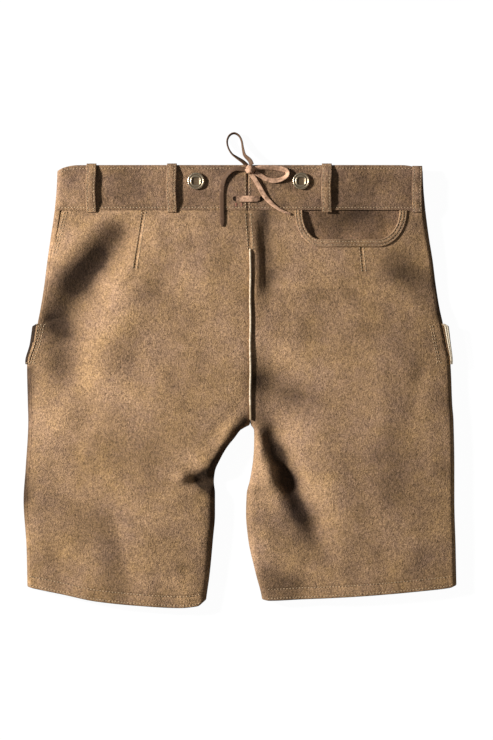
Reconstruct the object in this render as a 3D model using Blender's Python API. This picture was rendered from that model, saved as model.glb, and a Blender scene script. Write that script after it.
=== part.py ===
"""Short suede breeches (lederhosen), laid flat on their front with the back up.

The legs and the seat are flattened tubes: the front lies on the ground, the sides
are soft folds and the back rests over it in shallow ridges and troughs.
Sizes are in millimetres and become metres where a mesh is made.
X runs across the garment, +Y towards the waist, +Z up from the ground.
"Down" is the distance from the waist's top edge towards the hems.
"""
import math
from collections import namedtuple

import bmesh
import bpy
import numpy as np
from mathutils import Vector

MM = 0.001

# Driving sizes.
WAIST_Y = 259.0            # the waist's top edge, from the middle of the garment
BAND_HEIGHT = 53.0         # waistband
CROTCH_DOWN = 304.0        # waist to crotch
BAND_WALL = 2.6            # waistband leather, doubled
PANEL_WALL = 1.8           # leg and seat leather
HEM_WALL = 3.2             # leather turned up at the hem
HEM_TURN = 13.0            # width of the turned hem
GAP = 0.3                  # between pieces that touch
SIDE_BEND = 7.0            # half width of the fold along the outer sides
INSEAM_BEND = 9.0          # the same along the inseams
CROTCH_BEND = 26.0         # the same round the crotch
BEND_FADE = 12.0           # how fast the crotch's bend becomes the inseam's
TRIM_WALL = 1.5            # facings, bindings and belt loops

LEFT = -1
RIGHT = 1

# The outline: distance from the middle to each outer edge.
Side = namedtuple("Side", "down left right")
OUTLINE = (
    Side(-10, 214.5, 214.5),
    Side(0, 215.0, 215.0),
    Side(25, 216.0, 216.0),
    Side(53, 218.5, 218.5),
    Side(84, 223.0, 222.5),
    Side(112, 227.0, 227.0),
    Side(140, 230.5, 230.5),
    Side(168, 235.0, 235.0),
    Side(186, 238.5, 239.0),
    Side(210, 243.5, 243.5),
    Side(234, 251.0, 248.0),
    Side(281, 250.0, 250.0),
    Side(300, 249.5, 251.5),
    Side(356, 252.5, 252.5),
    Side(394, 255.0, 252.5),
    Side(450, 251.5, 254.0),
    Side(498, 250.5, 255.0),
    Side(530, 250.0, 256.0),
)

# Each leg's inner edge and, above the crotch, the centre seam.
Inner = namedtuple("Inner", "down left right")
INNER = (
    Inner(-10, 9.0, 9.0),
    Inner(44, 9.0, 9.0),
    Inner(100, 12.2, 12.2),
    Inner(304, 12.2, 12.2),
    Inner(311, 1.0, 16.4),
    Inner(320, -6.0, 16.6),
    Inner(332, -15.5, 16.4),
    Inner(346, -23.5, 15.4),
    Inner(360, -29.5, 13.4),
    Inner(372, -30.8, 11.2),
    Inner(386, -29.4, 7.8),
    Inner(410, -29.4, 7.0),
    Inner(440, -31.8, 9.6),
    Inner(480, -35.6, 18.4),
    Inner(512, -40.0, 26.0),
    Inner(530, -42.0, 27.0),
)

# Heights above the ground: outer fold, middle of a half, inner fold; how deep the centre dips.
Lift = namedtuple("Lift", "down side middle inner dip")
LIFTS = (
    Lift(-10, 11.0, 13.4, 13.0, 0.0),
    Lift(53, 11.0, 13.6, 13.0, 0.0),
    Lift(100, 11.0, 16.0, 13.0, 0.1),
    Lift(166, 11.5, 18.5, 13.5, 0.2),
    Lift(250, 12.0, 20.5, 14.0, 0.5),
    Lift(304, 12.5, 21.5, 15.0, 0.9),
    Lift(360, 13.0, 22.5, 15.0, 1.0),
    Lift(420, 13.0, 21.5, 14.5, 1.0),
    Lift(470, 12.5, 18.5, 13.5, 1.0),
    Lift(530, 12.0, 16.0, 12.5, 1.0),
)
LOWEST_BACK = 7.6          # where the back lies on the front

# The back's largest soft ridges (height > 0) and troughs, each from one end to the other.
Fold = namedtuple("Fold", "x0 down0 x1 down1 reach height")
FOLDS = (
    Fold(-168, 66, -218, 128, 17, 4.5),      # left hip, upper ridge
    Fold(-140, 88, -196, 160, 17, -7.0),     # left hip, valley
    Fold(-128, 150, -158, 236, 26, 4.0),     # left seat, broad ridge
    Fold(-212, 196, -190, 252, 20, -3.5),    # left side hollow under the pocket
    Fold(27, 62, 33, 136, 10, -3.5),         # beside the centre seam
    Fold(34, 236, 44, 300, 20, -4.0),        # right seat, running to the crotch
    Fold(40, 318, 60, 372, 12, -7.5),        # right leg, upper trough
    Fold(60, 372, 86, 420, 15, -6.5),        # right leg, lower trough
    Fold(19, 318, 32, 366, 9, 4.0),          # right inseam ridge
    Fold(92, 330, 118, 410, 26, 3.5),        # right thigh
    Fold(200, 116, 222, 150, 18, -3.5),      # right hip hollow
    Fold(-6, 318, -40, 352, 12, 4.0),        # left inseam ridge
    Fold(-30, 371, -54, 368, 9, -8.0),       # left knee notch
    Fold(-146, 428, -134, 476, 16, -2.6),    # left leg, soft dent
    Fold(42, 478, 66, 496, 18, -3.6),        # right hem dent
    Fold(-206, 330, -196, 400, 24, -2.2),    # left outer leg
    Fold(190, 300, 200, 400, 26, -2.0),      # right outer leg
)
FOLD_START = 45.0          # folds grow from here down,
FOLD_GROW = 35.0           # over this length

# The hems' edge: distance down from the waist across each leg.
Hem = namedtuple("Hem", "x down")
HEM_LEFT = (
    Hem(-256, 494.5), Hem(-250, 496.0), Hem(-206, 505.0), Hem(-170, 512.5), Hem(-117, 518.0),
    Hem(-70, 520.5), Hem(-50, 518.5), Hem(-40, 512.0),
)
HEM_RIGHT = (
    Hem(26, 511.0), Hem(34, 512.0), Hem(70, 510.5), Hem(144, 506.5), Hem(220, 500.0),
    Hem(246, 497.0), Hem(256, 494.0),
)

# Rows of the leg and seat panels; the last three follow the hem.
BODY_ROWS = (
    54, 66, 82, 100, 120, 142, 166, 186.5, 197, 210, 222, 234, 254, 276, 292, 304,
    311, 320, 332, 346, 360, 372, 386, 410, 440,
)
LAST_FREE_ROW = 440.0

# The front's drop flap, two buttons on it and a belt loop on each side.
FLAP_TOP = 5.0
FLAP_BOTTOM = 185.0
FLAP_HALF = 88.0           # half width at the waist,
FLAP_TAPER = 14.0          # less this at its lower edge
FLAP_CORNER = 22.0
FRONT_BUTTON_OUT = 71.0    # from the centre
BUTTON_DOWN = 17.0
FRONT_BUTTON_RISE = 4.1    # the flap passes over a button by this
BUTTON_FLAT = 14.0
BUTTON_RAMP = 18.0
FRONT_LOOP_OUT = 150.0
FRONT_LOOP_DOWN = (1.0, 51.0)
RISE_MARGIN = 1.5
RISE_RAMP = 10.0

# Belt loops on the back: place across, and the top end's distance down.
LOOP_WIDTH = 11.5
LOOP_OPEN = 3.0            # room under a loop's middle
LOOP_SEWN = 0.25           # share of its length that rises from each sewn end
BACK_LOOP_BOTTOM = 55.5
BackLoop = namedtuple("BackLoop", "name x top")
BACK_LOOPS = (
    BackLoop("belt_loop_back_left_outer", -175.0, -2.0),
    BackLoop("belt_loop_back_left_inner", -80.5, -2.0),
    BackLoop("belt_loop_back_right_inner", 101.5, -2.0),
    BackLoop("belt_loop_back_right_outer", 208.0, 1.0),
)

# The scooped back pocket in the right back panel.
POCKET_IN = 73.0
POCKET_OUT = 188.0
POCKET_ROUND_IN = 21.0
POCKET_ROUND_OUT = 27.0
POCKET_DEPTH = 34.5
POCKET_SETTLE = 120.0      # below this the panel's rows are straight again
BINDING_WIDTH = 8.4
BINDING_WALL = 1.1
FACING_MARGIN = 11.0
FACING_SAG = 1.2
FACING_ROWS = (54, 60, 66, 74, 82, 91)
FACING_COLUMNS = 12

# Side seams: how far in from the outer fold they lie on the back.
Seam = namedtuple("Seam", "down left right")
SEAMS = (
    Seam(-10, 8.5, 5.0), Seam(53, 8.5, 5.0), Seam(106, 4.0, 4.5), Seam(186, 4.5, 5.0),
    Seam(234, 5.2, 4.0), Seam(530, 5.2, 4.5),
)
KNIFE_POCKET_ROWS = (186.5, 197, 210, 222, 234)
KNIFE_POCKET_BULGE = 4.0
KNIFE_POCKET_TUCK = 1.2    # how far its start passes under the panel's edge
CUT_EDGE_WALL = 1.0
CUT_EDGE_TURN = 0.85       # share of the way up from the outer fold at which it starts
CUT_EDGE_DROP = 0.8        # from there out to the pocket's rim

PIPING_ROWS = (100, 120, 142, 166, 186.5, 197, 210, 222, 234, 254, 276, 292, 298)
PIPING_WIDTH = 4.0
PIPING_HEIGHT = 2.0
PIPING_LIFT = 0.25
PIPING_RIM = 0.2

Turned = namedtuple("Turned", "radius height")
BUTTON_PROFILE = (
    Turned(0.0, 0.0), Turned(4.2, 0.0), Turned(4.2, 0.7), Turned(9.2, 0.9), Turned(10.0, 1.5),
    Turned(10.0, 2.2), Turned(9.2, 3.0), Turned(8.0, 3.0), Turned(7.2, 2.2), Turned(5.6, 2.1),
    Turned(5.0, 2.7), Turned(3.6, 2.7), Turned(3.0, 2.2), Turned(0.0, 2.2),
)
BACK_BUTTONS = (("button_back_left", -51.7), ("button_back_right", 71.7))
BACK_BUTTON_DOWN = 19.0

# The lace: a flat thong, drawn here as a round cord of the same section.
LACE_RADIUS = 1.7
LACE_BAR_BOW = 1.2
LACE_STEP = 5.0
KNOT_AT = (12.0, 5.5)
KNOT_SIZE = (5.5, 4.5, 3.5)
EYELETS = (-4.3, 23.3)
EYELET_DOWN = 39.5
LACE_WIDTH = 6.0
LACE_THICK = 1.4

# Each lace route: across, down, height above the waistband.
Place = namedtuple("Place", "x down above")
LACE_ROUTES = {
    "lace_end_left": (
        Place(6.0, 5.5, 3.8), Place(0.0, 4.6, 3.9), Place(-6.0, 4.8, 3.6), Place(-12.5, 8.6, 3.0),
        Place(-17.8, 15.0, 2.5), Place(-20.6, 24.0, 2.2), Place(-21.4, 36.0, 2.1),
        Place(-21.3, 48.0, 2.2), Place(-21.0, 60.0, 2.5), Place(-20.8, 72.0, 3.0),
    ),
    "lace_end_right": (
        Place(13.4, 10.8, 3.4), Place(16.6, 16.0, 3.0), Place(21.4, 23.5, 2.5),
        Place(27.0, 33.5, 2.2), Place(33.6, 42.0, 2.1), Place(42.0, 49.5, 2.1),
        Place(50.6, 54.4, 2.3), Place(59.0, 57.8, 2.4),
    ),
    "lace_loop_right": (
        Place(17.9, 4.2, 4.6), Place(26.0, 3.2, 4.2), Place(36.0, 3.4, 3.3), Place(47.0, 4.4, 2.6),
        Place(54.6, 7.0, 2.3), Place(55.6, 12.0, 2.1), Place(49.6, 16.6, 2.1),
        Place(40.0, 18.6, 2.1), Place(31.0, 16.6, 2.2), Place(24.0, 12.6, 2.6),
        Place(17.9, 9.0, 3.0),
    ),
    "lace_loop_up": (
        Place(8.2, 1.3, 4.3), Place(3.6, -3.4, 3.8), Place(-3.6, -8.6, 1.6),
        Place(-9.6, -13.6, -2.4), Place(-13.8, -21.0, -6.6), Place(-15.2, -29.0, -9.0),
        Place(-12.6, -35.6, -9.8), Place(-7.0, -38.4, -9.9), Place(-1.4, -35.6, -9.8),
        Place(1.9, -29.0, -8.6), Place(3.4, -20.0, -5.2), Place(5.6, -11.5, -0.6),
        Place(11.4, -5.2, 3.2), Place(13.8, 0.2, 4.3),
    ),
}

Finish = namedtuple("Finish", "colour roughness metallic")
FINISHES = {
    "suede": Finish((0.30, 0.20, 0.12), 0.95, 0.0),
    "suede_dark": Finish((0.16, 0.10, 0.06), 0.95, 0.0),
    "piping": Finish((0.62, 0.50, 0.36), 0.8, 0.0),
    "lace": Finish((0.33, 0.19, 0.10), 0.75, 0.0),
    "button": Finish((0.55, 0.47, 0.36), 0.35, 0.9),
}


def clear_scene():
    """Remove whatever the file opened with."""
    for thing in list(bpy.data.objects):
        bpy.data.objects.remove(thing, do_unlink=True)


def read(table, column, at, key="down"):
    """Read a table's column at a place between its rows, on a smooth curve."""
    keys = [getattr(row, key) for row in table]
    values = [getattr(row, column) for row in table]
    at = min(max(at, keys[0]), keys[-1])
    k = min(max(int(np.searchsorted(keys, at)) - 1, 0), len(keys) - 2)
    span = keys[k + 1] - keys[k]
    t = (at - keys[k]) / span
    rises = [(b - a) / (q - p) for a, b, p, q in zip(values, values[1:], keys, keys[1:])]

    def slope(n):
        before = rises[max(n - 1, 0)]
        after = rises[min(n, len(rises) - 1)]
        if before * after <= 0:
            return 0.0
        return 2 * before * after / (before + after)

    square, cube = t * t, t * t * t
    return (
        values[k] * (2 * cube - 3 * square + 1)
        + values[k + 1] * (3 * square - 2 * cube)
        + slope(k) * span * (cube - 2 * square + t)
        + slope(k + 1) * span * (cube - square)
    )


def ramp(t):
    """Rise smoothly from 0 at t = 0 to 1 at t = 1."""
    t = min(max(t, 0.0), 1.0)
    return t * t * (3 - 2 * t)


def outer_edge(side, down):
    """Place across of a side's outer edge."""
    return side * read(OUTLINE, "left" if side == LEFT else "right", down)


def inner_edge(side, down):
    """Place across of a leg's inner edge, or of the centre seam above the crotch."""
    return read(INNER, "left" if side == LEFT else "right", down)


def seam_in(side, down):
    """How far in from the outer edge the side seam lies."""
    return read(SEAMS, "left" if side == LEFT else "right", down)


def hem_down(side, x):
    """How far down the hem's edge is at a place across a leg."""
    return read(HEM_LEFT if side == LEFT else HEM_RIGHT, "down", x, key="x")


def fold_height(x, down):
    """Sum of the ridges and troughs at a point of the back."""
    total = 0.0
    for fold in FOLDS:
        run = (fold.x1 - fold.x0, fold.down1 - fold.down0)
        length = math.hypot(*run)
        along = ((x - fold.x0) * run[0] + (down - fold.down0) * run[1]) / length
        beyond = max(-along, along - length, 0.0)
        across = ((x - fold.x0) * run[1] - (down - fold.down0) * run[0]) / length
        far = (across / fold.reach) ** 2 + (beyond / (1.4 * fold.reach)) ** 2
        total += fold.height * math.exp(-far)
    return total * ramp((down - FOLD_START) / FOLD_GROW)


def share_across(side, x, down):
    """0 at the inner edge of a half and 1 at its outer edge."""
    inner, outer = inner_edge(side, down), outer_edge(side, down)
    return min(max((x - inner) / (outer - inner), 0.0), 1.0)


def full_height(side, x, down):
    """Height of the back's outer surface away from the edges."""
    c = share_across(side, x, down)
    low = read(LIFTS, "inner", down) * (1 - c) + read(LIFTS, "side", down) * c
    crown = (1 - c ** 4) * (1 - read(LIFTS, "dip", down) * (1 - c) ** 4)
    height = low + (read(LIFTS, "middle", down) - low) * crown + fold_height(x, down)
    return max(height, LOWEST_BACK + 0.3 * (height - LOWEST_BACK))


def middle_height(down, c):
    """Height at which the back and the front meet along an edge."""
    return 0.5 * (read(LIFTS, "inner", down) * (1 - c) + read(LIFTS, "side", down) * c)


def inseam_bend(down):
    """Half width of the fold along the inner edge."""
    below = max(down - CROTCH_DOWN, 0.0)
    return INSEAM_BEND + (CROTCH_BEND - INSEAM_BEND) * math.exp(-below / BEND_FADE)


def flap_half(down):
    """Half width of the front's flap."""
    return FLAP_HALF - FLAP_TAPER * ramp((down - BAND_HEIGHT) / (FLAP_BOTTOM - BAND_HEIGHT))


def button_rise(x, down):
    """How far a front button lifts what lies over it."""
    centre = inner_edge(LEFT, down)
    far = math.hypot(abs(x - centre) - FRONT_BUTTON_OUT, down - BUTTON_DOWN)
    return FRONT_BUTTON_RISE * ramp(1 - (far - BUTTON_FLAT) / BUTTON_RAMP)


def front_rise(x, down):
    """Height of the front's outer surface above the ground."""
    centre = inner_edge(LEFT, min(down, CROTCH_DOWN))
    beyond = max(abs(x - centre) - flap_half(down), down - FLAP_BOTTOM)
    over_flap = ramp(1 - (beyond - RISE_MARGIN) / RISE_RAMP)
    beside = abs(abs(x - centre) - FRONT_LOOP_OUT) - LOOP_WIDTH / 2
    over_loop = ramp(1 - (beside - RISE_MARGIN) / RISE_RAMP) if down <= BAND_HEIGHT else 0.0
    return button_rise(x, down) + (PANEL_WALL + GAP) * max(over_flap, over_loop)


def back_height(side, x, down, wall):
    """Height of the back at a point, on its outer face (wall = 0) or its inner one."""
    height = full_height(side, x, down)
    if down >= CROTCH_DOWN:
        return height - wall
    far = math.hypot(x - inner_edge(side, down), CROTCH_DOWN - down)
    share = min(max((far - wall) / (CROTCH_BEND - wall), 0.0), 1.0)
    meet = middle_height(down, 0.0)
    return meet + (height - wall - meet) * math.sqrt(1 - (1 - share) ** 2)


def front_height(side, x, down, wall):
    """Height of the front at a point, on its outer face (wall = 0) or its inner one."""
    rise = front_rise(x, down) + wall
    if down >= CROTCH_DOWN:
        return rise
    far = math.hypot(x - inner_edge(side, down), CROTCH_DOWN - down)
    share = min(max((far - wall) / (CROTCH_BEND - wall), 0.0), 1.0)
    meet = middle_height(down, 0.0)
    return meet - (meet - rise) * math.sqrt(1 - (1 - share) ** 2)


def bend_point(side, down, angle, upper, wall, inseam):
    """A point of an edge's fold: angle 0 at its tip, 90 degrees where it is level."""
    if inseam:
        tip, bend, inward = inner_edge(side, down), inseam_bend(down), side
    else:
        tip, bend, inward = outer_edge(side, down), SIDE_BEND, -side
    meet = middle_height(down, 0.0 if inseam else 1.0)
    x = tip + inward * (wall + (bend - wall) * (1 - math.cos(angle)))
    if upper:
        reach = full_height(side, x, down) - wall - meet
        return x, meet + GAP / 2 * inseam + reach * math.sin(angle)
    reach = meet - front_rise(x, down) - wall
    return x, meet - GAP / 2 * inseam - reach * math.sin(angle)


def seam_angle(side, down, more):
    """Angle on the outer fold at which the side seam lies, moved inward by a distance."""
    far = min(seam_in(side, down) + more, SIDE_BEND)
    return math.acos(1 - far / SIDE_BEND)


def link(name, mesh, finish):
    """Put a mesh into the scene as a sub-part with its own material."""
    thing = bpy.data.objects.new(name, mesh)
    bpy.context.scene.collection.objects.link(thing)
    material = bpy.data.materials.new(name)
    material.use_nodes = True
    shader = material.node_tree.nodes["Principled BSDF"]
    look = FINISHES[finish]
    shader.inputs["Base Color"].default_value = (*look.colour, 1)
    shader.inputs["Roughness"].default_value = look.roughness
    shader.inputs["Metallic"].default_value = look.metallic
    mesh.materials.append(material)
    return thing


def to_metres(x, down, z):
    """A point of the garment in the part's own frame."""
    return Vector((x * MM, (WAIST_Y - down) * MM, z * MM))


def walled(name, outer, inner, finish):
    """A closed wall between two grids of points of the same size."""
    grid = bmesh.new()
    faces = [[[grid.verts.new(to_metres(*p)) for p in row] for row in face] for face in (outer, inner)]
    rows, columns = len(outer), len(outer[0])
    for face in faces:
        for r in range(rows - 1):
            for c in range(columns - 1):
                quad(grid, face[r][c], face[r][c + 1], face[r + 1][c + 1], face[r + 1][c])
    rim = [(0, c) for c in range(columns)]
    rim += [(r, columns - 1) for r in range(1, rows)]
    rim += [(rows - 1, c) for c in reversed(range(columns - 1))]
    rim += [(r, 0) for r in reversed(range(1, rows - 1))]
    for (r0, c0), (r1, c1) in zip(rim, rim[1:] + rim[:1]):
        quad(grid, faces[0][r0][c0], faces[0][r1][c1], faces[1][r1][c1], faces[1][r0][c0])
    bmesh.ops.recalc_face_normals(grid, faces=grid.faces)
    mesh = bpy.data.meshes.new(name)
    grid.to_mesh(mesh)
    grid.free()
    mesh.shade_smooth()
    return link(name, mesh, finish)


def quad(grid, a, b, c, d):
    """Two triangles over four points, split the same way whichever way a row runs."""
    if a.co.x > b.co.x:
        a, b, c, d = b, c, d, a
    grid.faces.new((a, b, c))
    grid.faces.new((a, c, d))


# ---------------------------------------------------------------- leg and seat panels

BACK_SHARES = {
    LEFT: (0.14, 0.22, 0.33, 0.46, 0.60, 0.74, 0.88),
    RIGHT: (0.14, 0.22, 0.305, 0.322, 0.352, 0.405, 0.56, 0.725, 0.79, 0.835, 0.853, 0.91),
}
BEND_ANGLES = tuple(math.radians(a) for a in (0, 35, 65, 90))


FLAP_COLUMN = 0.7          # the innermost column, as a share of the flap's half width
LOW_COLUMNS_IN = 30.0      # on the leg the front's columns lie this far from the inner edge
LOW_COLUMNS_STEP = 30.0
OUTSIDE_COLUMN = 0.55      # the column between the last of them and the outer fold
LEG_MIDDLE = 0.55          # the row between the last free row and the hem
LEG_START = 500.0          # a first guess at a hem row's place
SEAM_GAP = 0.65 * GAP      # each panel's edge keeps this from the side seam's line
SEAM_TURNS = (1.0, 0.6, 0.2)        # the front's columns over the fold, as shares of the seam's angle


def scoop(side, x, down):
    """Move a row of the right back panel down round the scooped pocket opening."""
    if side == LEFT or down >= POCKET_SETTLE or not POCKET_IN < x < POCKET_OUT:
        return down
    from_end, round_width = min((x - POCKET_IN, POCKET_ROUND_IN), (POCKET_OUT - x, POCKET_ROUND_OUT))
    part = min(from_end / round_width, 1.0)
    top = BODY_ROWS[0] + POCKET_DEPTH * math.sqrt(1 - (1 - part) ** 2)
    share = (down - BODY_ROWS[0]) / (POCKET_SETTLE - BODY_ROWS[0])
    return top + share * (POCKET_SETTLE - top)


def panel_rows():
    """Each row as a function of the hem: its distance down, and its wall."""
    rows = [(lambda hem, d=d: d, PANEL_WALL) for d in BODY_ROWS]
    rows.append((lambda hem: LAST_FREE_ROW + LEG_MIDDLE * (hem - LAST_FREE_ROW), PANEL_WALL))
    rows.append((lambda hem: hem - HEM_TURN - 1.0, PANEL_WALL))
    rows.append((lambda hem: hem - HEM_TURN, HEM_WALL))
    rows.append((lambda hem: hem, HEM_WALL))
    return rows


def leg_down(side, row, x_at):
    """Where a row lies, found from the place across that it has there."""
    down = row(LEG_START)
    for _ in range(3):
        down = row(hem_down(side, x_at(down)))
    return down


def inner_bend_columns(side, row, wall, upper):
    """A row's points over the inner edge, from its tip inwards."""
    points = []
    for angle in BEND_ANGLES:
        def x_at(down, angle=angle):
            return bend_point(side, down, angle, upper, 0.0, True)[0]

        down = leg_down(side, row, x_at)
        if down < CROTCH_DOWN:
            x = x_at(down) + side * GAP / 2
            height = back_height if upper else front_height
            points.append((x, down, height(side, x, down, wall)))
        else:
            x, z = bend_point(side, down, angle, upper, wall, True)
            points.append((x, down, z))
    return points


def back_panel(side):
    """Half of the back, from the centre seam and inseam to the side seam."""
    grids = []
    for face in (0, 1):
        grid = []
        for row, row_wall in panel_rows():
            wall = row_wall * face
            line = inner_bend_columns(side, row, wall, True)
            for share in BACK_SHARES[side]:
                def x_at(down, share=share):
                    inner, outer = inner_edge(side, down), outer_edge(side, down)
                    return inner + share * (outer - inner)

                down = leg_down(side, row, x_at)
                x = x_at(down)
                down = scoop(side, x, down)
                line.append((x, down, back_height(side, x, down, wall)))
            for angle_of in (lambda d: math.pi / 2, lambda d: seam_angle(side, d, SEAM_GAP)):
                def tip_at(down):
                    return bend_point(side, down, angle_of(down), True, 0.0, False)[0]

                down = leg_down(side, row, tip_at)
                x, z = bend_point(side, down, angle_of(down), True, wall, False)
                line.append((x, down, z))
            grid.append(line)
        grids.append(grid)
    name = "back_left" if side == LEFT else "back_right"
    return walled(name, grids[0], grids[1], "suede")


def front_columns(down):
    """Distances from the centre of the front's flat columns, from the flap's side outwards."""
    half = flap_half(min(down, FLAP_BOTTOM))
    return (FLAP_COLUMN * half, half, half + RISE_MARGIN, half + RISE_MARGIN + RISE_RAMP)


def front_panel(side):
    """Half of the front, from the side seam round the outer fold to the centre."""
    grids = []
    for face in (0, 1):
        grid = []
        for row, row_wall in panel_rows():
            wall = row_wall * face
            line = []
            for turn in SEAM_TURNS:
                def over(down, turn=turn):
                    return turn * seam_angle(side, down, -SEAM_GAP)

                down = leg_down(side, row, lambda d: bend_point(side, d, over(d), True, 0, False)[0])
                x, z = bend_point(side, down, over(down), True, wall, False)
                line.append((x, down, z))
            for angle in BEND_ANGLES[1:]:
                def low_at(d, angle=angle):
                    return bend_point(side, d, angle, False, 0, False)[0]

                down = leg_down(side, row, low_at)
                x, z = bend_point(side, down, angle, False, wall, False)
                line.append((x, down, z))
            flat = []
            for place in range(4):
                def flat_at(d, place=place):
                    top = inner_edge(side, min(d, CROTCH_DOWN)) + side * front_columns(d)[place]
                    low = inner_edge(side, d) + side * (LOW_COLUMNS_IN + LOW_COLUMNS_STEP * place)
                    share = ramp((d - 200) / 100)
                    return top * (1 - share) + low * share

                down = leg_down(side, row, flat_at)
                x = flat_at(down)
                flat.append((x, down, front_height(side, x, down, wall)))

            def outside_at(d):
                return flat_at(d, 3) + OUTSIDE_COLUMN * (outer_edge(side, d) - flat_at(d, 3))

            down = leg_down(side, row, outside_at)
            x = outside_at(down)
            line.append((x, down, front_height(side, x, down, wall)))
            line += flat[::-1]
            line += inner_bend_columns(side, row, wall, False)[::-1]
            grid.append(line)
        grids.append(grid)
    name = "front_left" if side == LEFT else "front_right"
    return walled(name, grids[0], grids[1], "suede")


# ---------------------------------------------------------------- waistband and flap

BAND_ROWS = (0.0, 5.0, 17.0, 29.0, 41.0, 53.0)
BAND_BACK = (0.0, 30.0, 65.0, 100.0, 140.0, 180.0)
BAND_FRONT = (
    185.0, 167.0, 157.5, 142.5, 132.0, 112.0, 99.5, 89.5, 88.0, 85.0, 71.0, 57.0, 28.0, 0.0,
)
SLIT_TOP = 2.4             # the centre back slit narrows from this
SLIT_DOWN = 40.0
CORNER_FROM = 190.0        # outside this the top edge rounds down
CORNER_DROP = 6.0


def band_down(x, down):
    """Round the waistband's top edge off towards the side folds."""
    past = max(abs(x) - CORNER_FROM, 0.0) / (OUTLINE[1].left - CORNER_FROM)
    return down + CORNER_DROP * past ** 2 * (1 - down / BAND_HEIGHT)


def waistband(side):
    """Half of the waistband, from the centre back slit round to the centre front."""
    grids = []
    for wall in (0.0, BAND_WALL):
        grid = []
        for row in BAND_ROWS:
            line = []
            slit = max(SLIT_TOP * (1 - row / SLIT_DOWN), GAP) / 2
            for out in BAND_BACK:
                x = inner_edge(side, row) + side * max(out, slit)
                down = band_down(x, row)
                line.append((x, down, back_height(side, x, down, wall)))
            for upper, angles in ((True, (90, 50, 20)), (False, (20, 50, 90))):
                for angle in angles:
                    x = bend_point(side, row, math.radians(angle), upper, 0, False)[0]
                    down = band_down(x, row)
                    x, z = bend_point(side, down, math.radians(angle), upper, wall, False)
                    line.append((x, down, z))
            for out in BAND_FRONT:
                x = inner_edge(side, row) + side * max(out, GAP / 2)
                down = band_down(x, row)
                line.append((x, down, front_height(side, x, down, wall)))
            grid.append(line)
        grids.append(grid)
    name = "waistband_left" if side == LEFT else "waistband_right"
    return walled(name, grids[0], grids[1], "suede")


def front_flap():
    """The front's drop flap, under the waistband and the front panels."""
    rows = [d for d in (*BAND_ROWS, *BODY_ROWS) if FLAP_TOP <= d < FLAP_BOTTOM]
    rows.append(FLAP_BOTTOM)
    grids = []
    for wall in (0.0, PANEL_WALL):
        grid = []
        for row in rows:
            half = flap_half(row)
            near_end = max(row - FLAP_BOTTOM + FLAP_CORNER, 0.0) / FLAP_CORNER
            half -= FLAP_CORNER * (1 - math.sqrt(max(1 - near_end ** 2, 0.0)))
            outs = (0.0, 28.0, 57.0, 71.0, 85.0, 88.0)
            outs = [out * half / FLAP_HALF for out in outs]
            xs = [-out for out in reversed(outs[1:])] + list(outs)
            line = []
            for out in xs:
                x = inner_edge(LEFT, row) + out
                line.append((x, row, button_rise(x, row) + wall))
            grid.append(line)
        grids.append(grid)
    return walled("front_flap", grids[0], grids[1], "suede")


# ---------------------------------------------------------------- trim

def ribbon(name, centre, half_width, finish, lift, wall):
    """A flat strip on the back: centre gives its places, moved up by lift."""
    grids = []
    for level in (lift, lift + wall):
        grid = []
        for x, down, width_x, width_down in centre:
            line = []
            for part in (-half_width, 0.0, half_width):
                px, pd = x + part * width_x, down + part * width_down
                side = LEFT if px < inner_edge(LEFT, pd) else RIGHT
                line.append((px, pd, back_height(side, px, pd, 0.0) + level))
            grid.append(line)
        grids.append(grid)
    return walled(name, grids[1], grids[0], finish)


def belt_loop(name, x, height, ends, opening):
    """A strip across the waistband, sewn at both ends and standing off between them."""
    top, bottom = ends
    stations = (0.0, 0.08, 0.2, 0.5, 0.8, 0.92, 1.0)
    grids = []
    for level in (GAP, GAP + TRIM_WALL):
        grid = []
        for part in stations:
            down = top + part * (bottom - top)
            bow = opening * ramp(min(part, 1 - part) / LOOP_SEWN)
            line = []
            for across in (-LOOP_WIDTH / 2, LOOP_WIDTH / 2):
                line.append((x + across, down, height(x + across, down) + level + bow))
            grid.append(line)
        grids.append(grid)
    return walled(name, grids[1], grids[0], "suede")


def turned_button(name, x, down, base, upwards):
    """A metal button turned from its profile, with a raised rim and a sunk middle."""
    mesh = bpy.data.meshes.new(name)
    shape = bmesh.new()
    rim = [
        shape.verts.new((row.radius * MM, 0, row.height * MM)) for row in BUTTON_PROFILE
    ]
    edges = [shape.edges.new(pair) for pair in zip(rim, rim[1:])]
    bmesh.ops.spin(
        shape, geom=rim + edges, cent=(0, 0, 0), axis=(0, 0, 1), angle=2 * math.pi, steps=20,
        use_merge=False, use_duplicate=False,
    )
    bmesh.ops.remove_doubles(shape, verts=shape.verts, dist=1e-6)
    bmesh.ops.recalc_face_normals(shape, faces=shape.faces)
    shape.to_mesh(mesh)
    shape.free()
    mesh.shade_smooth()
    thing = link(name, mesh, "button")
    thing.location = to_metres(x, down, base)
    if not upwards:
        thing.rotation_euler = (math.pi, 0, 0)
    return thing


def pocket_edge(part):
    """A point on the scooped opening's edge and the direction away from the opening."""
    inner_arc, straight = 0.32, 0.62
    if part < inner_arc:
        turn = math.pi / 2 * part / inner_arc
        centre, wide, out = POCKET_IN + POCKET_ROUND_IN, POCKET_ROUND_IN, -1
    elif part <= straight:
        share = (part - inner_arc) / (straight - inner_arc)
        start, end = POCKET_IN + POCKET_ROUND_IN, POCKET_OUT - POCKET_ROUND_OUT
        return start + share * (end - start), BODY_ROWS[0] + POCKET_DEPTH, 0.0, 1.0
    else:
        turn = math.pi / 2 * (1 - part) / (1 - straight)
        centre, wide, out = POCKET_OUT - POCKET_ROUND_OUT, POCKET_ROUND_OUT, 1
    x = centre + out * wide * math.cos(turn)
    down = BODY_ROWS[0] + POCKET_DEPTH * math.sin(turn)
    normal = Vector((out * math.cos(turn) / wide, math.sin(turn) / POCKET_DEPTH)).normalized()
    return x, down, normal.x, normal.y


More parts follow.
